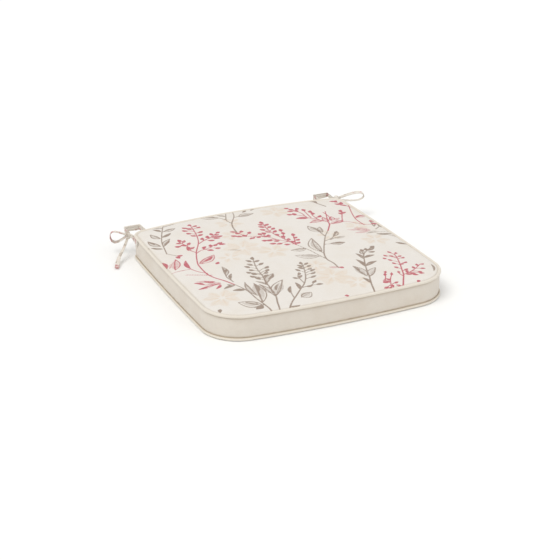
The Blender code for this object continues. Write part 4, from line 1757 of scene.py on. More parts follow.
    @staticmethod
    def height_above(upper: np.ndarray, ring: np.ndarray) -> np.ndarray:
        """Finds the upper face's height straight above each point of a ring.

        Args:
            upper: The upper face's points.
            ring: The ring's points.

        Returns:
            The heights.
        """
        spots = upper.reshape(-1, 3)
        tree = lookup(spots[:, :2])
        return np.array([spots[tree.find((x, y, 0.0))[1], 2] for x, y, _ in ring])

    def print_on(self, panel: Thing) -> None:
        """Keeps the print, the seam's shade and a flat thread map on the panel's mesh.

        Args:
            panel: The panel.
        """
        spots = positions(panel)
        for name, distance in Print(spots[:, :2]).draw(SPRIGS).items():
            store(panel, name, distance)
        away, _ = self.from_seam(spots[:, :2])
        store(panel, CREASE_SHADE, np.exp(-np.maximum(away - 0.0012, 0) / 0.0010))
        lay_flat(panel)


@dataclass
class BasePanel:
    """The plain panel underneath, flat where it rests on the chair."""

    plan: PadPlan
    cloth: float = 0.0008
    count: int = 640

    def build(self) -> Thing:
        """Makes the panel from rings that step in from the seam.

        Returns:
            The panel.
        """
        rings = []
        crease = self.plan.base_seam - self.plan.piping_radius * 0.42
        for inset, height in ((0.0026, crease), (0.0045, 0.0009), (0.0075, 0.0003), (0.011, 0.0)):
            edge = self.plan.outline(self.count, inset)
            rings.append(np.column_stack([edge, np.full(self.count, height)]))
        for share in (0.93, 0.85, 0.75, 0.6, 0.45, 0.3, 0.15):
            rings.append(rings[3] * np.array([share, share, 1.0]))
        for ring in rings[1:3]:
            along = np.arange(self.count) / self.count
            ring[:, 2] += 0.0002 * (1 + np.sin(along * 2 * pi * 80))
        points = np.stack(rings, axis=1)
        sheet = Sheet(points, np.linspace(0, 2, self.count + 1), np.arange(len(rings)) * 0.01, ring=True)
        panel = make_piece("base_panel_cloth", [sheet], [rings[-1]])
        lay_flat(panel)
        # The crease attribute paints shade along the seam with the piping, fading inward.
        spots = positions(panel)
        tree = lookup(rings[0])
        away = np.array([tree.find(spot)[2] for spot in spots])
        store(panel, CREASE_SHADE, np.exp(-away / 0.0016))
        thicken(panel, self.cloth)
        return settle(panel, PLAIN, "plain_cream", "base_panel")


def lay_flat(thing: Thing) -> None:
    """Makes the thread map of a piece follow the plan.

    Args:
        thing: The piece.
    """
    corner = np.zeros(len(thing.data.loops), np.int32)
    thing.data.loops.foreach_get("vertex_index", corner)
    flat = positions(thing)[corner][:, :2]
    thing.data.uv_layers[LAY].data.foreach_set("uv", flat.astype(np.float32).ravel())


@dataclass
class Border:
    """The upright walls of the cover: one strip round the front and sides, two at the back.

    Attributes:
        plan: The pad's outline.
        swell: How far the filling pushes the cover out.
        cloth: Thickness of the cloth.
        inset: The cloth's face, in from the middle of the piping.
        tuck: How far the face runs up behind the round of the piping.
        join: Distance of the side seams from the middle of the back.
        zip_gap: Half the height of the opening for the zip.
        belly: How far the wall stands out halfway up.
        push_share: How much of the filling's push the wall takes.
        top_shade: How strongly the upper seam is shaded, against the lower one.
    """

    plan: PadPlan
    swell: Swell
    cloth: float = 0.0008
    inset: float = 0.0004
    tuck: float = 0.0012
    join: float = 0.160
    zip_gap: float = 0.0034
    belly: float = 0.0011
    push_share: float = 0.25
    top_shade: float = 0.85

    def run(self) -> np.ndarray:
        """The outline from one side seam, round the front, to the other.

        Returns:
            The points, one per row.
        """
        line = self.plan.outline(9000)
        middle_of_back = int(np.argmax(line[:, 1] - np.abs(line[:, 0])))
        line = np.roll(line, -middle_of_back, axis=0)
        keep = ~((line[:, 1] > 0.1) & (np.abs(line[:, 0]) < self.join))
        return resampled(line[keep], 980, False)

    def wall(self, line: np.ndarray, heights: np.ndarray) -> np.ndarray:
        """Stands a wall on a line of the plan.

        Args:
            line: Points in the plan.
            heights: The heights of its columns.

        Returns:
            The wall's points.
        """
        out = outward(line, False)
        distance = arc_length(line)
        low, high = self.plan.base_seam, self.plan.top_seam
        points = np.zeros((len(line), len(heights), 3))
        for column, z in enumerate(heights):
            share = (z - low) / (high - low)
            bulge = self.belly * np.sin(pi * np.clip(share, 0, 1)) ** 0.8
            near = min(z - low, high - z)
            turn = self.plan.piping_radius
            tucked = 0.0009 * max(0.0, 1 - (near - turn * 0.6) / 0.004) ** 2 if near < 0.006 else 0.0
            fade = np.exp(-max(near - 0.003, 0.0) / 0.008)
            gathers = 0.00022 * fade * np.sin(distance * 2 * pi / 0.019 + 2 * np.sin(distance * 31))
            waves = np.array([ripple(x, y, z, 0.045) for x, y in line]) * 0.0007 * np.sin(pi * share)
            pushed = np.zeros(len(line))
            push = np.array([self.swell.at(x, y, z, 0.012)[:2] for x, y in line])
            pushed = np.clip(np.sum(push * out, axis=1), -0.001, 0.004) * self.push_share
            offset = -self.inset - tucked + bulge + gathers + waves + pushed * np.sin(pi * share)
            points[:, column, :2] = line + out * offset[:, None]
            points[:, column, 2] = z
        return points

    def strip(self, name: str, line: np.ndarray, low: float, high: float, node: str) -> Thing:
        """Makes one strip of border.

        Args:
            name: The piece's name.
            line: Where it runs in the plan.
            low: The height of its lower edge.
            high: The height of its upper edge.
            node: The frame's node that it stands for.

        Returns:
            The piece.
        """
        count = max(4, round((high - low) / 0.0022))
        heights = np.linspace(low, high, count + 1)
        points = self.wall(line, heights)
        piece = make_piece(name, [Sheet(points, arc_length(line), heights)])
        z = positions(piece)[:, 2]
        seams = (self.plan.base_seam + self.plan.piping_radius, self.plan.top_seam - self.plan.piping_radius)
        base_shade = np.exp(-np.abs(z - seams[0]) / 0.0012)
        top_shade = np.exp(-np.abs(z - seams[1]) / 0.0012) * self.top_shade
        store(piece, CREASE_SHADE, np.maximum(base_shade, top_shade))
        thicken(piece, self.cloth)
        return settle(piece, PLAIN, "plain_cream", node)

    def build(self) -> list[Thing]:
        """Makes the strip round the front and sides, and the two at the back.

        Returns:
            The three strips.
        """
        low = self.plan.base_seam + self.tuck
        high = self.plan.top_seam - self.tuck
        middle = (self.plan.base_seam + self.plan.top_seam) / 2
        back = self.plan.span(self.join - self.plan.clearance, -self.join + self.plan.clearance, 180)
        return [
            self.strip("border_cloth", self.run(), low, high, "border_strip"),
            self.strip("back_border_cloth_upper", back, middle + self.zip_gap, high, "back_border_upper"),
            self.strip("back_border_cloth_lower", back, low, middle - self.zip_gap, "back_border_lower"),
        ]


@dataclass
class Piping:
    """A covered cord sewn into a seam, with its flange between the panels.

    Attributes:
        plan: The pad's outline.
        name: Which seam, top or base.
        height: The height of the cord's middle.
        panel_shade: How strongly the seam beside the panel is shaded, against the border's.
        cloth: Thickness of the cloth.
        flange: How far the flange reaches in from the middle of the piping.
        count: Number of facets along it.
        facets: Number of points round the cord.
    """

    plan: PadPlan
    name: str
    height: float
    panel_shade: float = 0.45
    cloth: float = 0.0007
    flange: float = 0.0080
    count: int = 1050
    facets: int = 15

    def section(self) -> np.ndarray:
        """The cover's outline, round the cord and back along the flange, as (out, up).

        Returns:
            The points, one per row.
        """
        radius = self.plan.piping_radius
        turn = np.linspace(-0.82 * pi, 0.82 * pi, self.facets)
        ring = np.stack([np.cos(turn), np.sin(turn)], axis=1) * radius
        ply = self.cloth
        tail = np.array([(-radius - 0.001, ply), (-self.flange, ply * 0.8), (-self.flange, -ply * 0.8),
                         (-radius - 0.001, -ply)])
        return np.vstack([ring, tail])

    def cover(self) -> Thing:
        """Makes the cover, slightly uneven along its length.

        Returns:
            The cover.
        """
        line = self.plan.outline(self.count)
        out = outward(line)
        section = self.section()
        length = arc_length(np.vstack([line, line[:1]]))
        points = np.zeros((self.count, len(section), 3))
        uneven = np.array([ripple(x, y, self.height, 0.03) for x, y in line]) * 0.045
        fine = np.array([ripple(x, y, self.height, 0.006) for x, y in line]) * 0.02
        for column, (away, up) in enumerate(section):
            swollen = 1 + (uneven + fine if column < self.facets else 0.0)
            points[:, column, :2] = line + out * (away * swollen * np.ones(self.count))[:, None]
            points[:, column, 2] = self.height + up * swollen
        girth = arc_length(np.vstack([section, section[:1]]))
        piece = make_piece(self.name + "_piping_cloth", [Sheet(points, length, girth, ring=True, tube=True)])
        spots = positions(piece)
        edge = self.plan.outline(2400)
        tree = lookup(edge, self.height)
        inside = np.array([(edge[tree.find(spot)[1]] - spot[:2]) @ unit(spot[:2]) for spot in spots])
        inner = np.clip((inside - 0.0014) / 0.0016, 0, 1)
        toward = self.height - (self.plan.top_seam + self.plan.base_seam) / 2
        facing = (self.height - spots[:, 2]) * np.sign(toward)
        border_side = np.clip((facing - 0.0016) / 0.0014, 0, 1)
        store(piece, CREASE_SHADE, np.maximum(inner * self.panel_shade, border_side) ** 1.5)
        return settle(piece, PIPED, "piping_cream", self.name + "_piping_cover")

    def cord(self) -> Thing:
        """Makes the three-strand cord inside the cover.

        Returns:
            The cord.
        """
        line = self.plan.outline(900)
        out = outward(line)
        length = arc_length(np.vstack([line, line[:1]]))
        radius = self.plan.piping_radius - self.cloth - self.plan.clearance
        turns = round(length[-1] / 0.012)
        angles = np.linspace(0, 2 * pi, 12, endpoint=False)
        points = np.zeros((len(line), len(angles), 3))
        for column, angle in enumerate(angles):
            lobe = 1 - 0.13 * (1 - np.abs(np.cos(1.5 * (angle + length[:-1] / length[-1] * 2 * pi * turns))))
            points[:, column, :2] = line + out * (radius * cos(angle) * lobe)[:, None]
            points[:, column, 2] = self.height + radius * sin(angle) * lobe
        girth = np.linspace(0, 2 * pi * radius, len(angles) + 1)
        piece = make_piece(self.name + "_cord_strands", [Sheet(points, length, girth, ring=True, tube=True)])
        return settle(piece, CORD, "piping_cord", self.name + "_piping_cord")


# ---- The filling ---------------------------------------------------------------------------


@dataclass
class Filling:
    """The foam core and the wadding above and below it."""

    plan: PadPlan
    count: int = 420

    def block(
        self, name: str, finish: Finish, slot: str, node: str, rounding: float, crown: float
    ) -> Thing:
        """Makes one soft block that fills the room of a node of the frame.

        Args:
            name: The piece's name.
            finish: What it is made of.
            slot: Its material slot.
            node: The frame's node that it stands for.
            rounding: Radius of its worn edges.
            crown: How far its top rises above its rim.

        Returns:
            The piece.
        """
        low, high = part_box(node)
        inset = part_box("top_piping_cover")[1].x - self.plan.piping_radius - high.x
        top = high.z - crown
        rounding = min(rounding, (top - low.z) / 2.2)
        rings = []
        for turn in np.linspace(-pi / 2, 0, 5):
            rings.append((inset + rounding * (1 - cos(turn)), low.z + rounding * (1 + sin(turn))))
        for turn in np.linspace(0, pi / 2, 5):
            rings.append((inset + rounding * (1 - cos(turn)), top - rounding * (1 - sin(turn))))
        edges = []
        for away, z in rings:
            edge = self.plan.outline(self.count, away)
            edges.append(np.column_stack([edge, np.full(self.count, z)]))
        rim = edges[-1]
        for share in (0.96, 0.88, 0.76, 0.6, 0.4, 0.2):
            ring = rim * np.array([share, share, 1.0])
            ring[:, 2] = top + crown * (1 - share**4)
            edges.append(ring)
        points = np.stack(edges, axis=1)
        lay = np.arange(points.shape[1]) * 0.01
        sheet = Sheet(points, np.linspace(0, 2, self.count + 1), lay, ring=True)
        piece = make_piece(name, [sheet], [edges[0][::-1], edges[-1]])
        return settle(piece, finish, slot, node)

    def build(self) -> list[Thing]:
        """Makes the foam and both waddings.

        Returns:
            The three pieces.
        """
        rise = self.plan.crown_top - self.plan.top_seam - self.plan.piping_radius + 0.0008
        foam = self.block("foam_block", FOAM, "foam", "foam_core", 0.003, 0.0)
        upper = self.block("top_wadding_layer", WADDING, "wadding", "top_wadding", 0.0006, rise)
        lower = self.block("base_wadding_layer", WADDING, "wadding", "base_wadding", 0.0006, 0.0)
        return [foam, upper, lower]


# ---- The zip -------------------------------------------------------------------------------


@dataclass
class Zip:
    """The zip across the back: two tapes, two rows of teeth, two stops and a slider with a pull.

    Attributes:
        plan: The pad's outline.
        half_length: Half the length of the rows of teeth.
        pitch: Distance from one tooth to the next in a row.
        tooth_near: Where a tooth's head starts, from the zip's middle line.
        tooth_depth: How deep a tooth is from outside to inside.
        worn_edge: Radius of a tooth's edges.
        bead: Half the width and half the height of the bead that the teeth are clipped over.
        tape_thickness: Thickness of the tapes.
        web_room: Distance of a tape's inner edge from the zip's middle line.
        tape_end: How far the tapes run past the frame's at each end.
    """

    plan: PadPlan
    half_length: float = 0.150
    pitch: float = 0.0022
    tooth_near: float = 0.0006
    tooth_depth: float = 0.0020
    worn_edge: float = 0.00018
    bead: Spot = (0.0007, 0.0003)
    tape_thickness: float = 0.0005
    web_room: float = 0.0009
    tape_end: float = 0.0024

    def __post_init__(self) -> None:
        """Reads the height of the zip's middle line from the frame."""
        self.middle = (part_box("zip_teeth_upper")[0].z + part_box("zip_teeth_lower")[1].z) / 2

    def on_back(self, x: np.ndarray, out: np.ndarray, z: np.ndarray) -> np.ndarray:
        """Wraps points drawn flat, along X and out along Y, onto the back edge's arc.

        Args:
            x: Distance along the arc.
            out: Distance outward from it.
            z: Height.

        Returns:
            The points.
        """
        lean = x / self.plan.back.radius
        reach = self.plan.back.radius + out
        y = self.plan.back.centre.y + reach * np.cos(lean)
        return np.stack(np.broadcast_arrays(reach * np.sin(lean), y, z), axis=-1)

    def tape(self, side: int, node: str) -> Thing:
        """Makes one tape, with a rib along its edge and a stitched line beside the teeth.

        Args:
            side: 1 above the teeth, -1 below.
            node: The frame's node that it stands for.

        Returns:
            The tape.
        """
        low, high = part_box(node)
        face = self.plan.back.centre.y + self.plan.back.radius - high.y
        end = high.x + self.tape_end
        x = np.linspace(-end, end, 440)
        near = self.middle + side * self.web_room
        far = high.z if side > 0 else low.z
        across = np.linspace(min(near, far), max(near, far), 16)
        points = np.zeros((len(x), len(across), 3))
        for column, z in enumerate(across):
            rib = 0.00010 * np.exp(-(((abs(z - near) - 0.0045) / 0.0006) ** 2))
            wave = 0.00008 * np.sin(x * 2 * pi / 0.003) * np.exp(-abs(z - near) / 0.0015)
            points[:, column] = self.on_back(x, -face + rib + wave, z)
        name = "zip_tape_cloth_" + node.rsplit("_", 1)[1]
        piece = make_piece(name, [Sheet(points, x - x[0], across - across[0])])
        store(piece, CREASE_SHADE, np.zeros(len(piece.data.vertices)))
        thicken(piece, self.tape_thickness)
        return settle(piece, ZIP_TAPE, "zip_tape", node)

    def tooth(self, work: bmesh.types.BMesh, x: float, out: float, side: int, far: float) -> None:
        """Adds one tooth: a wide head, a narrow neck and a foot on the tape.

        Args:
            work: The mesh being built.
            x: Where it sits along the zip.
            out: How far out its middle lies.
            side: 1 for the upper row, -1 for the lower.
            far: How far its foot is from the zip's middle line.
        """
        levels = []
        near = self.tooth_near
        for away, head in ((near, 0.00068), ((near + far) / 2, 0.00042), (far, 0.00058)):
            level = []
            for turn in (0.25, 0.75, 1.25, 1.75):
                along = x + head * np.sign(cos(turn * pi))
                depth = out + (self.tooth_depth / 2 - 0.0002) * np.sign(sin(turn * pi))
                level.append(work.verts.new(self.on_back(along, depth, self.middle + side * away)))
            levels.append(level)
        for below, above in zip(levels, levels[1:]):
            for corner in range(4):
                following = (corner + 1) % 4
                work.faces.new((below[corner], below[following], above[following], above[corner]))
        work.faces.new(levels[0][::-1])
        work.faces.new(levels[-1])

    def teeth(self, side: int, node: str) -> Thing:
        """Makes one row of separate teeth, each a rounded hook clipped over a bead.

        Args:
            side: 1 for the upper row, -1 for the lower.
            node: The frame's node that it stands for.

        Returns:
            The row.
        """
        low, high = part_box(node)
        outer = self.plan.back.centre.y + self.plan.back.radius - high.y
        far = max(abs(low.z - self.middle), abs(high.z - self.middle))
        half = self.tooth_depth / 2
        work = bmesh.new()
        for number in range(int(2 * self.half_length / self.pitch)):
            x = -self.half_length + (number + (0.25 if side > 0 else 0.75)) * self.pitch
            self.tooth(work, x, -outer - half, side, far)
        bevel = {"offset": self.worn_edge, "segments": 2, "profile": 0.7, "affect": "EDGES"}
        bmesh.ops.bevel(work, geom=work.edges[:], **bevel)
        bmesh.ops.recalc_face_normals(work, faces=work.faces)
        turns = np.linspace(0, 2 * pi, 8, endpoint=False)
        x = np.linspace(-self.half_length, self.half_length, 180)
        bead = np.zeros((len(x), len(turns), 3))
        bead_z = self.middle + side * (far - self.bead[1])
        for column, turn in enumerate(turns):
            out = -outer - half + self.bead[0] * cos(turn)
            bead[:, column] = self.on_back(x, out, bead_z + self.bead[1] * sin(turn))
        girth = np.linspace(0, 0.004, len(turns) + 1)
        name = "zip_row_" + node.rsplit("_", 1)[1]
        row = make_piece(name, [Sheet(bead, x, girth, tube=True)], [bead[0], bead[-1][::-1]])
        work.from_mesh(row.data)
        work.to_mesh(row.data)
        work.free()
        row.data.polygons.foreach_set("use_smooth", [True] * len(row.data.polygons))
        return settle(row, NICKEL, "zip_metal", node)

    def dress_metal(self) -> None:
        """Rounds and finishes the stops, the slider and its pull, which keep their own shape."""
        for name in ("zip_stop_open_end", "zip_stop_closed_end", "zip_slider", "zip_pull"):
            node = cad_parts[name]
            node.data.materials.clear()
            node.data.materials.append(NICKEL.material())
            rounding = node.modifiers.new("rounding", "BEVEL")
            rounding.width = 0.00025 if name == "zip_slider" else 0.0002
            rounding.segments = 3
            rounding.limit_method = "ANGLE"
            rounding.angle_limit = radians(35)
            LOG.info("%s keeps its shape, in nickel", name)

    def build(self) -> None:
        """Makes the tapes and teeth and finishes the metal."""
        for side, word in ((1, "upper"), (-1, "lower")):
            self.tape(side, "zip_tape_" + word)
            self.teeth(side, "zip_teeth_" + word)
        self.dress_metal()


# ---- The ties ------------------------------------------------------------------------------


@dataclass
class Ribbon:
    """A narrow folded and stitched tape that follows a line in space.

    Attributes:
        name: The piece's name.
        line: Points along its middle.
        wide: Its width direction at each point.
        width: Its width at each point.
        folds: How strongly it gathers into lengthwise folds at each point, from 0 to 1.
        blush: How much of a printed rose patch falls on it at each point, from 0 to 1.
        thickness: Its thickness.
    """

    name: str
    line: np.ndarray
    wide: np.ndarray
    width: np.ndarray
    folds: np.ndarray
    blush: np.ndarray
    thickness: float = 0.0012

    def build(self) -> Thing:
        """Makes the tape, with thicker hems, a stitched groove beside each and soft folds.

        Returns:
            The tape, without a material.
        """
        along = unit(np.gradient(self.line, axis=0))
        wide = unit(self.wide - np.sum(self.wide * along, axis=1, keepdims=True) * along)
        face = np.cross(along, wide)
        columns = 17
        share = np.linspace(-1, 1, columns)
        distance = arc_length(self.line)
        faces = []
        hem = 1 - 0.35 * np.exp(-((np.abs(share) - 0.72) / 0.07) ** 2)
        hem[0] = hem[-1] = 0.55
        for sign in (1, -1):
            face_points = np.zeros((len(self.line), columns, 3))
            for column, at in enumerate(share if sign > 0 else share[::-1]):
                pleat = np.sin(at * 2.2 * pi + 0.6) * self.folds * 0.0016
                cockle = 0.00018 * np.sin(distance * 2 * pi / 0.0085 + at * 3)
                half = self.thickness / 2 * hem[column if sign > 0 else columns - 1 - column]
                face_points[:, column] = (
                    self.line
                    + wide * (at * self.width / 2)[:, None]
                    + face * (sign * half + pleat + cockle)[:, None]
                )
            faces.append(face_points)
        points = np.concatenate(faces, axis=1)
        girth = np.concatenate([share, 1.05 + (1 + share)]) * self.width.mean() / 2
        girth = np.append(girth, girth[-1] + 0.0002)
        sheet = Sheet(points, distance, girth, tube=True)
        piece = make_piece(self.name, [sheet], [points[0][::-1], points[-1]])
        spots = positions(piece)
        tree = lookup(self.line)
        hits = np.array([tree.find(spot)[1] for spot in spots])
        edge = np.abs(np.sum((spots - self.line[hits]) * wide[hits], axis=1)) / (self.width[hits] / 2)
        store(piece, BLUSH, self.blush[hits])
        # Painted shade in the stitched groove beside each hem.
        store(piece, CREASE_SHADE, np.exp(-((edge - 0.72) / 0.09) ** 2) * 0.8)
        return piece


@dataclass
class CornerTie:
    """The tapes sewn to one back corner, tied in a bow round the chair's post.

    Attributes:
        plan: The pad's outline.
        side: Which corner.
        loop_heading: The bow's heading in degrees from +X, anticlockwise from above.
        loop_pitch: How far the loop points up, in degrees.
        loop_height: How far the loop opens.
        loop_length: How far it reaches from the knot.
        tail: Heading of the free end, and its path as (distance, height).
        post_inner: Distance of the post's inner face from the pad's middle.
        sewn_out: How far the outer band stands off the side where it is sewn on.
    """

    plan: PadPlan
    side: Side
    loop_heading: float
    loop_pitch: float
    loop_height: float
    loop_length: float
    tail: tuple[float, tuple[Spot, ...]]
    post_inner: float = 0.193
    sewn_out: float = 0.0018

    def __post_init__(self) -> None:
        """Reads where the frame's knot sits."""
        self.word = self.side.name.lower()
        self.knot_low, self.knot_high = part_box(f"tie_{self.word}_knot")
        self.knot = np.array((self.knot_low + self.knot_high) / 2)
        low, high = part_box(f"tie_{self.word}_outer_tape")
        self.tape = high.z - low.z

    def bands(self) -> list[Thing]:
        """Makes the band past the post's outer face and the one that goes round behind it.

        Returns:
            The two bands.
        """
        sign = self.side.value
        thickness = Ribbon.thickness
        cut = self.plan.back_corner
        edge = self.plan.right
        root = []
        for back in (0.014, 0.009, 0.004, 0.0):
            point = edge.point(1 - (cut + back) / edge.length)
            root.append((point.x + self.sewn_out, point.y))
        tape_x = abs(self.knot[0]) - 0.005 + thickness / 2
        knot_front, knot_back = self.knot_low.y - 0.0003, self.knot_high.y + 0.0003
        knot_x = abs(self.knot[0]) - 0.0012
        outer = root + [
            (tape_x, root[-1][1] + 0.014),
            (tape_x, knot_front - 0.005),
            (tape_x + 0.0008, knot_front - 0.0005),
            (knot_x, knot_front + 0.003),
        ]
        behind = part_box(f"tie_{self.word}_inner_tape")[1].y - thickness / 2
        post_x = self.post_inner - thickness / 2
        sewn = self.plan.span(post_x - 0.017, post_x - 0.003, 4)
        bend = 0.003
        inner = [(x, y + 0.0008) for x, y in sewn]
        inner += [
            (post_x - 0.0006, inner[-1][1] + 0.0016),
            (post_x, inner[-1][1] + 0.006),
            (post_x, behind - bend * 2),
            (post_x + 0.0008, behind - 0.0012),
            (post_x + bend, behind),
            (tape_x - bend, behind),
            (tape_x - 0.0008, behind - 0.0012),
            (tape_x, behind - bend * 2),
            (tape_x, knot_back + 0.005),
            (tape_x + 0.0008, knot_back + 0.0005),
            (knot_x, knot_back - 0.003),
        ]
        made = []
        for word, path in (("outer", outer), ("inner", inner)):
            flat = resampled(smooth_line(path, 10), 90 if word == "outer" else 220, False)
            line = np.column_stack([flat[:, 0] * sign, flat[:, 1], np.full(len(flat), self.knot[2])])
            share = np.linspace(0, 1, len(line))
            pinch = smoothstep(0.55, 1.0, share)
            line[:, 2] += 0.0006 * np.sin(share * 9)
            wide = np.tile(UP, (len(line), 1))
            width = self.tape * (1 - 0.38 * pinch)
            plain = np.zeros(len(line))
            ribbon = Ribbon(
                f"tie_{self.word}_{word}_band", line, wide, width, 0.15 + 0.55 * pinch, plain
            )
            made.append(settle(ribbon.build(), TIE_TAPE, "printed_tape", f"tie_{self.word}_{word}_tape"))
        return made

    def make_knot(self) -> Thing:
        """Makes the knot: a plump wrap with creases that run round it aslant.

        Returns:
            The knot.
        """
        half = np.array((self.knot_high - self.knot_low) / 2)
        rows, columns = 40, 44
        points = np.zeros((rows, columns, 3))
        up = np.linspace(-pi / 2, pi / 2, rows)
        around = np.linspace(0, 2 * pi, columns, endpoint=False)
        for row, rise in enumerate(up):
            for column, turn in enumerate(around):
                ball = np.array([cos(rise) * cos(turn), cos(rise) * sin(turn), sin(rise)])
                squared = np.sign(ball) * np.abs(ball) ** 0.72
                crease = 0.15 * max(0.0, sin(rise * 3.2 + turn * 2.0 + 0.8)) ** 6
                crease += 0.10 * max(0.0, sin(rise * 5.0 - turn)) ** 8
                crease = 1 - crease * cos(rise) ** 2
                points[row, column] = self.knot + squared * half * 1.04 * crease
        girth = np.linspace(0, 0.05, columns + 1)
        sheet = Sheet(points, np.linspace(0, 0.02, rows), girth, tube=True)
        knot = make_piece(f"tie_{self.word}_wrap", [sheet])
        for name in (CREASE_SHADE, BLUSH):
            store(knot, name, np.zeros(len(knot.data.vertices)))
        return settle(knot, TIE_TAPE, "printed_tape", f"tie_{self.word}_knot")

    def make_loop(self) -> Thing:
        """Makes the bow's loop, gathered at the knot and open at its end.

        Returns:
            The loop.
        """
        heading, pitch = radians(self.loop_heading), radians(self.loop_pitch)
        steps = 120
        turn = np.linspace(0, pi, steps)
        reach = (self.loop_length + 0.003) * np.sin(turn) ** 0.9
        up = self.loop_height / 2 * np.sin(2 * turn) * (1 + 0.15 * np.sin(turn)) + 0.0019 * np.cos(turn)
        forward = np.array([cos(heading), sin(heading), 0.0])
        along = reach * cos(pitch) - up * sin(pitch)
        above = reach * sin(pitch) + up * cos(pitch)
        across = np.array([-sin(heading), cos(heading), 0.0])
        start = self.knot + np.array([self.side.value * 0.0030, 0.0, 0.0])
        line = start + along[:, None] * forward + above[:, None] * UP
        line = line + across * (0.0022 * np.sin(turn * 2))[:, None]
        open_share = np.sin(turn)
        width = self.tape * (0.50 + 0.38 * open_share)
        wide = np.tile(across, (steps, 1)) + UP * (0.22 * np.cos(turn))[:, None]
        folds = 0.75 * (1 - open_share) + 0.08
        blush = smoothstep(0.75, 1.0, np.sin(turn + 0.25)) * (self.side is Side.LEFT)
        ribbon = Ribbon(f"tie_{self.word}_bow", line, wide, width, folds, blush)
        return settle(ribbon.build(), TIE_TAPE, "printed_tape", f"tie_{self.word}_loop")

    def make_tail(self) -> Thing:
        """Makes the free end, which flares from the knot down to the surface below.

        Returns:
            The free end.
        """
        heading = radians(self.tail[0])
        path = resampled(smooth_line(list(self.tail[1]), 16), 110, False)
        forward = np.array([cos(heading), sin(heading), 0.0])
        across = np.array([-sin(heading), cos(heading), 0.0])
        root = np.array([self.knot[0], self.knot[1], 0.0])
        line = root + path[:, :1] * forward + path[:, 1:] * UP
        share = np.linspace(0, 1, len(line))
        line = line + across * (0.0030 * np.sin(share * 2.4 * pi) * share)[:, None]
        twist = 0.55 * np.sin(share * pi * 1.3)
        along = unit(np.gradient(line, axis=0))
        normal = np.cross(along, across)
        wide = across * np.cos(twist)[:, None] + normal * np.sin(twist)[:, None] * 0.6
        width = self.tape * (0.44 + 0.26 * smoothstep(0.0, 0.8, share))
        folds = 0.75 * (1 - share) ** 1.5 + 0.05
        ribbon = Ribbon(f"tie_{self.word}_end", line, wide, width, folds, smoothstep(0.86, 0.92, share))
        return settle(ribbon.build(), TIE_TAPE, "printed_tape", f"tie_{self.word}_tail")

    def build(self) -> None:
        """Makes every piece of the tie."""
        self.bands()
        self.make_knot()
        self.make_loop()
        self.make_tail()


# ---- The studio ----------------------------------------------------------------------------


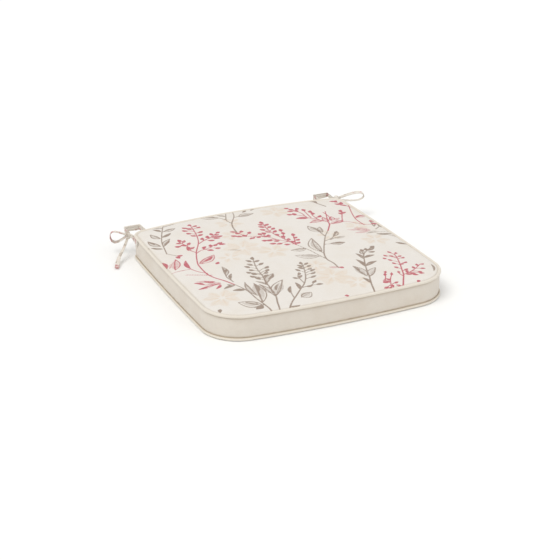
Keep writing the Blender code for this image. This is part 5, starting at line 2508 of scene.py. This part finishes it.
@dataclass
class Studio:
    """A plain pale floor, soft light and the camera.

    Attributes:
        distance: Distance of the camera from the middle of the floor, in metres.
        azimuth: How far round to the left the camera stands, in degrees.
        elevation: How far up it stands, in degrees.
        lens: Its focal length in millimetres.
        sky: Strength of the light from all round.
        key: Strength of the main light.
        fill: Strength of the light that opens the shadows.
        shift: How far the view is moved across and up, as shares of its width.
        floor_half: Half the width of the floor.
        floor_drop: How far the floor lies under the pad.
    """

    distance: float = 3.5765
    azimuth: float = 25.08
    elevation: float = 23.52
    lens: float = 119.5
    sky: float = 0.73
    key: float = 1.22
    fill: float = 0.36
    shift: Spot = (-0.0084, -0.0058)
    floor_half: float = 14.0
    floor_drop: float = 0.0006

    def lamp(self, name: str, spot: Spot3, strength: float, softness: float, tone: Colour) -> None:
        """Hangs a broad, soft light far off in one direction.

        Args:
            name: The light's name.
            spot: The direction it comes from.
            strength: How strong it is.
            softness: How wide it looks from the pad, in degrees.
            tone: Its colour.
        """
        light = bpy.data.lights.new(name, "SUN")
        light.energy = strength
        light.angle = radians(softness)
        light.color = tone
        holder = placed(name, light)
        holder.location = spot
        holder.rotation_euler = (-Vector(spot)).to_track_quat("-Z", "Y").to_euler()

    def floor(self) -> None:
        """Lays the floor just under the pad."""
        mesh = bpy.data.meshes.new("floor")
        half = self.floor_half
        corners = [(-half, -half, 0.0), (half, -half, 0.0), (half, half, 0.0), (-half, half, 0.0)]
        mesh.from_pydata(corners, [], [(0, 1, 2, 3)])
        ground = placed("floor", mesh)
        ground.location.z = -self.floor_drop
        mesh.materials.append(Floor("pale_floor").material())

    def camera(self) -> None:
        """Sets the camera at a three-quarter view from the front left."""
        data = bpy.data.cameras.new("camera")
        data.lens = self.lens
        data.sensor_width = 36.0
        data.shift_x, data.shift_y = self.shift
        holder = placed("camera", data)
        turn, rise = radians(self.azimuth), radians(self.elevation)
        back = Vector((-sin(turn) * cos(rise), -cos(turn) * cos(rise), sin(rise)))
        holder.location = back * self.distance
        holder.rotation_euler = (-back).to_track_quat("-Z", "Y").to_euler()
        bpy.context.scene.camera = holder

    def build(self) -> None:
        """Makes the floor, the lights, the sky and the camera."""
        scene = bpy.context.scene
        scene.view_settings.view_transform = "Standard"
        world = bpy.data.worlds.new("studio")
        world.use_nodes = True
        background = world.node_tree.nodes["Background"]
        background.inputs["Color"].default_value = (1.0, 1.0, 1.0, 1.0)
        background.inputs["Strength"].default_value = self.sky
        scene.world = world
        self.floor()
        self.lamp("key", (-1.5, -0.5, 3.0), self.key, 35.0, (1.0, 0.99, 0.97))
        self.lamp("fill", (1.5, -3.0, 2.4), self.fill, 60.0, (0.98, 0.99, 1.0))
        self.camera()


def main() -> None:
    """Builds the pad's sub-assemblies in order, and then the studio."""
    logging.basicConfig(level=logging.INFO, format="%(name)s %(message)s")
    plan = PadPlan()
    swell = StuffedForm(plan).swell()
    top = TopPanel(plan, swell).build()
    BasePanel(plan).build()
    Border(plan, swell).build()
    for name, height in (("top", plan.top_seam), ("base", plan.base_seam)):
        piping = Piping(plan, name, height)
        piping.cover()
        piping.cord()
    Filling(plan).build()
    Zip(plan).build()
    left_tail = ((0.0, 0.0330), (0.008, 0.0290), (0.024, 0.0235), (0.042, 0.0160), (0.062, 0.0078),
                 (0.085, 0.0022))
    right_tail = ((0.0, 0.0330), (0.008, 0.0290), (0.018, 0.0225), (0.027, 0.0130), (0.034, 0.0030))
    CornerTie(plan, Side.LEFT, 155.0, -8.0, 0.0190, 0.029, (232.0, left_tail)).build()
    CornerTie(plan, Side.RIGHT, -21.0, 8.0, 0.0110, 0.052, (65.0, right_tail)).build()
    Studio().build()


if __name__ == "__main__":
    main()
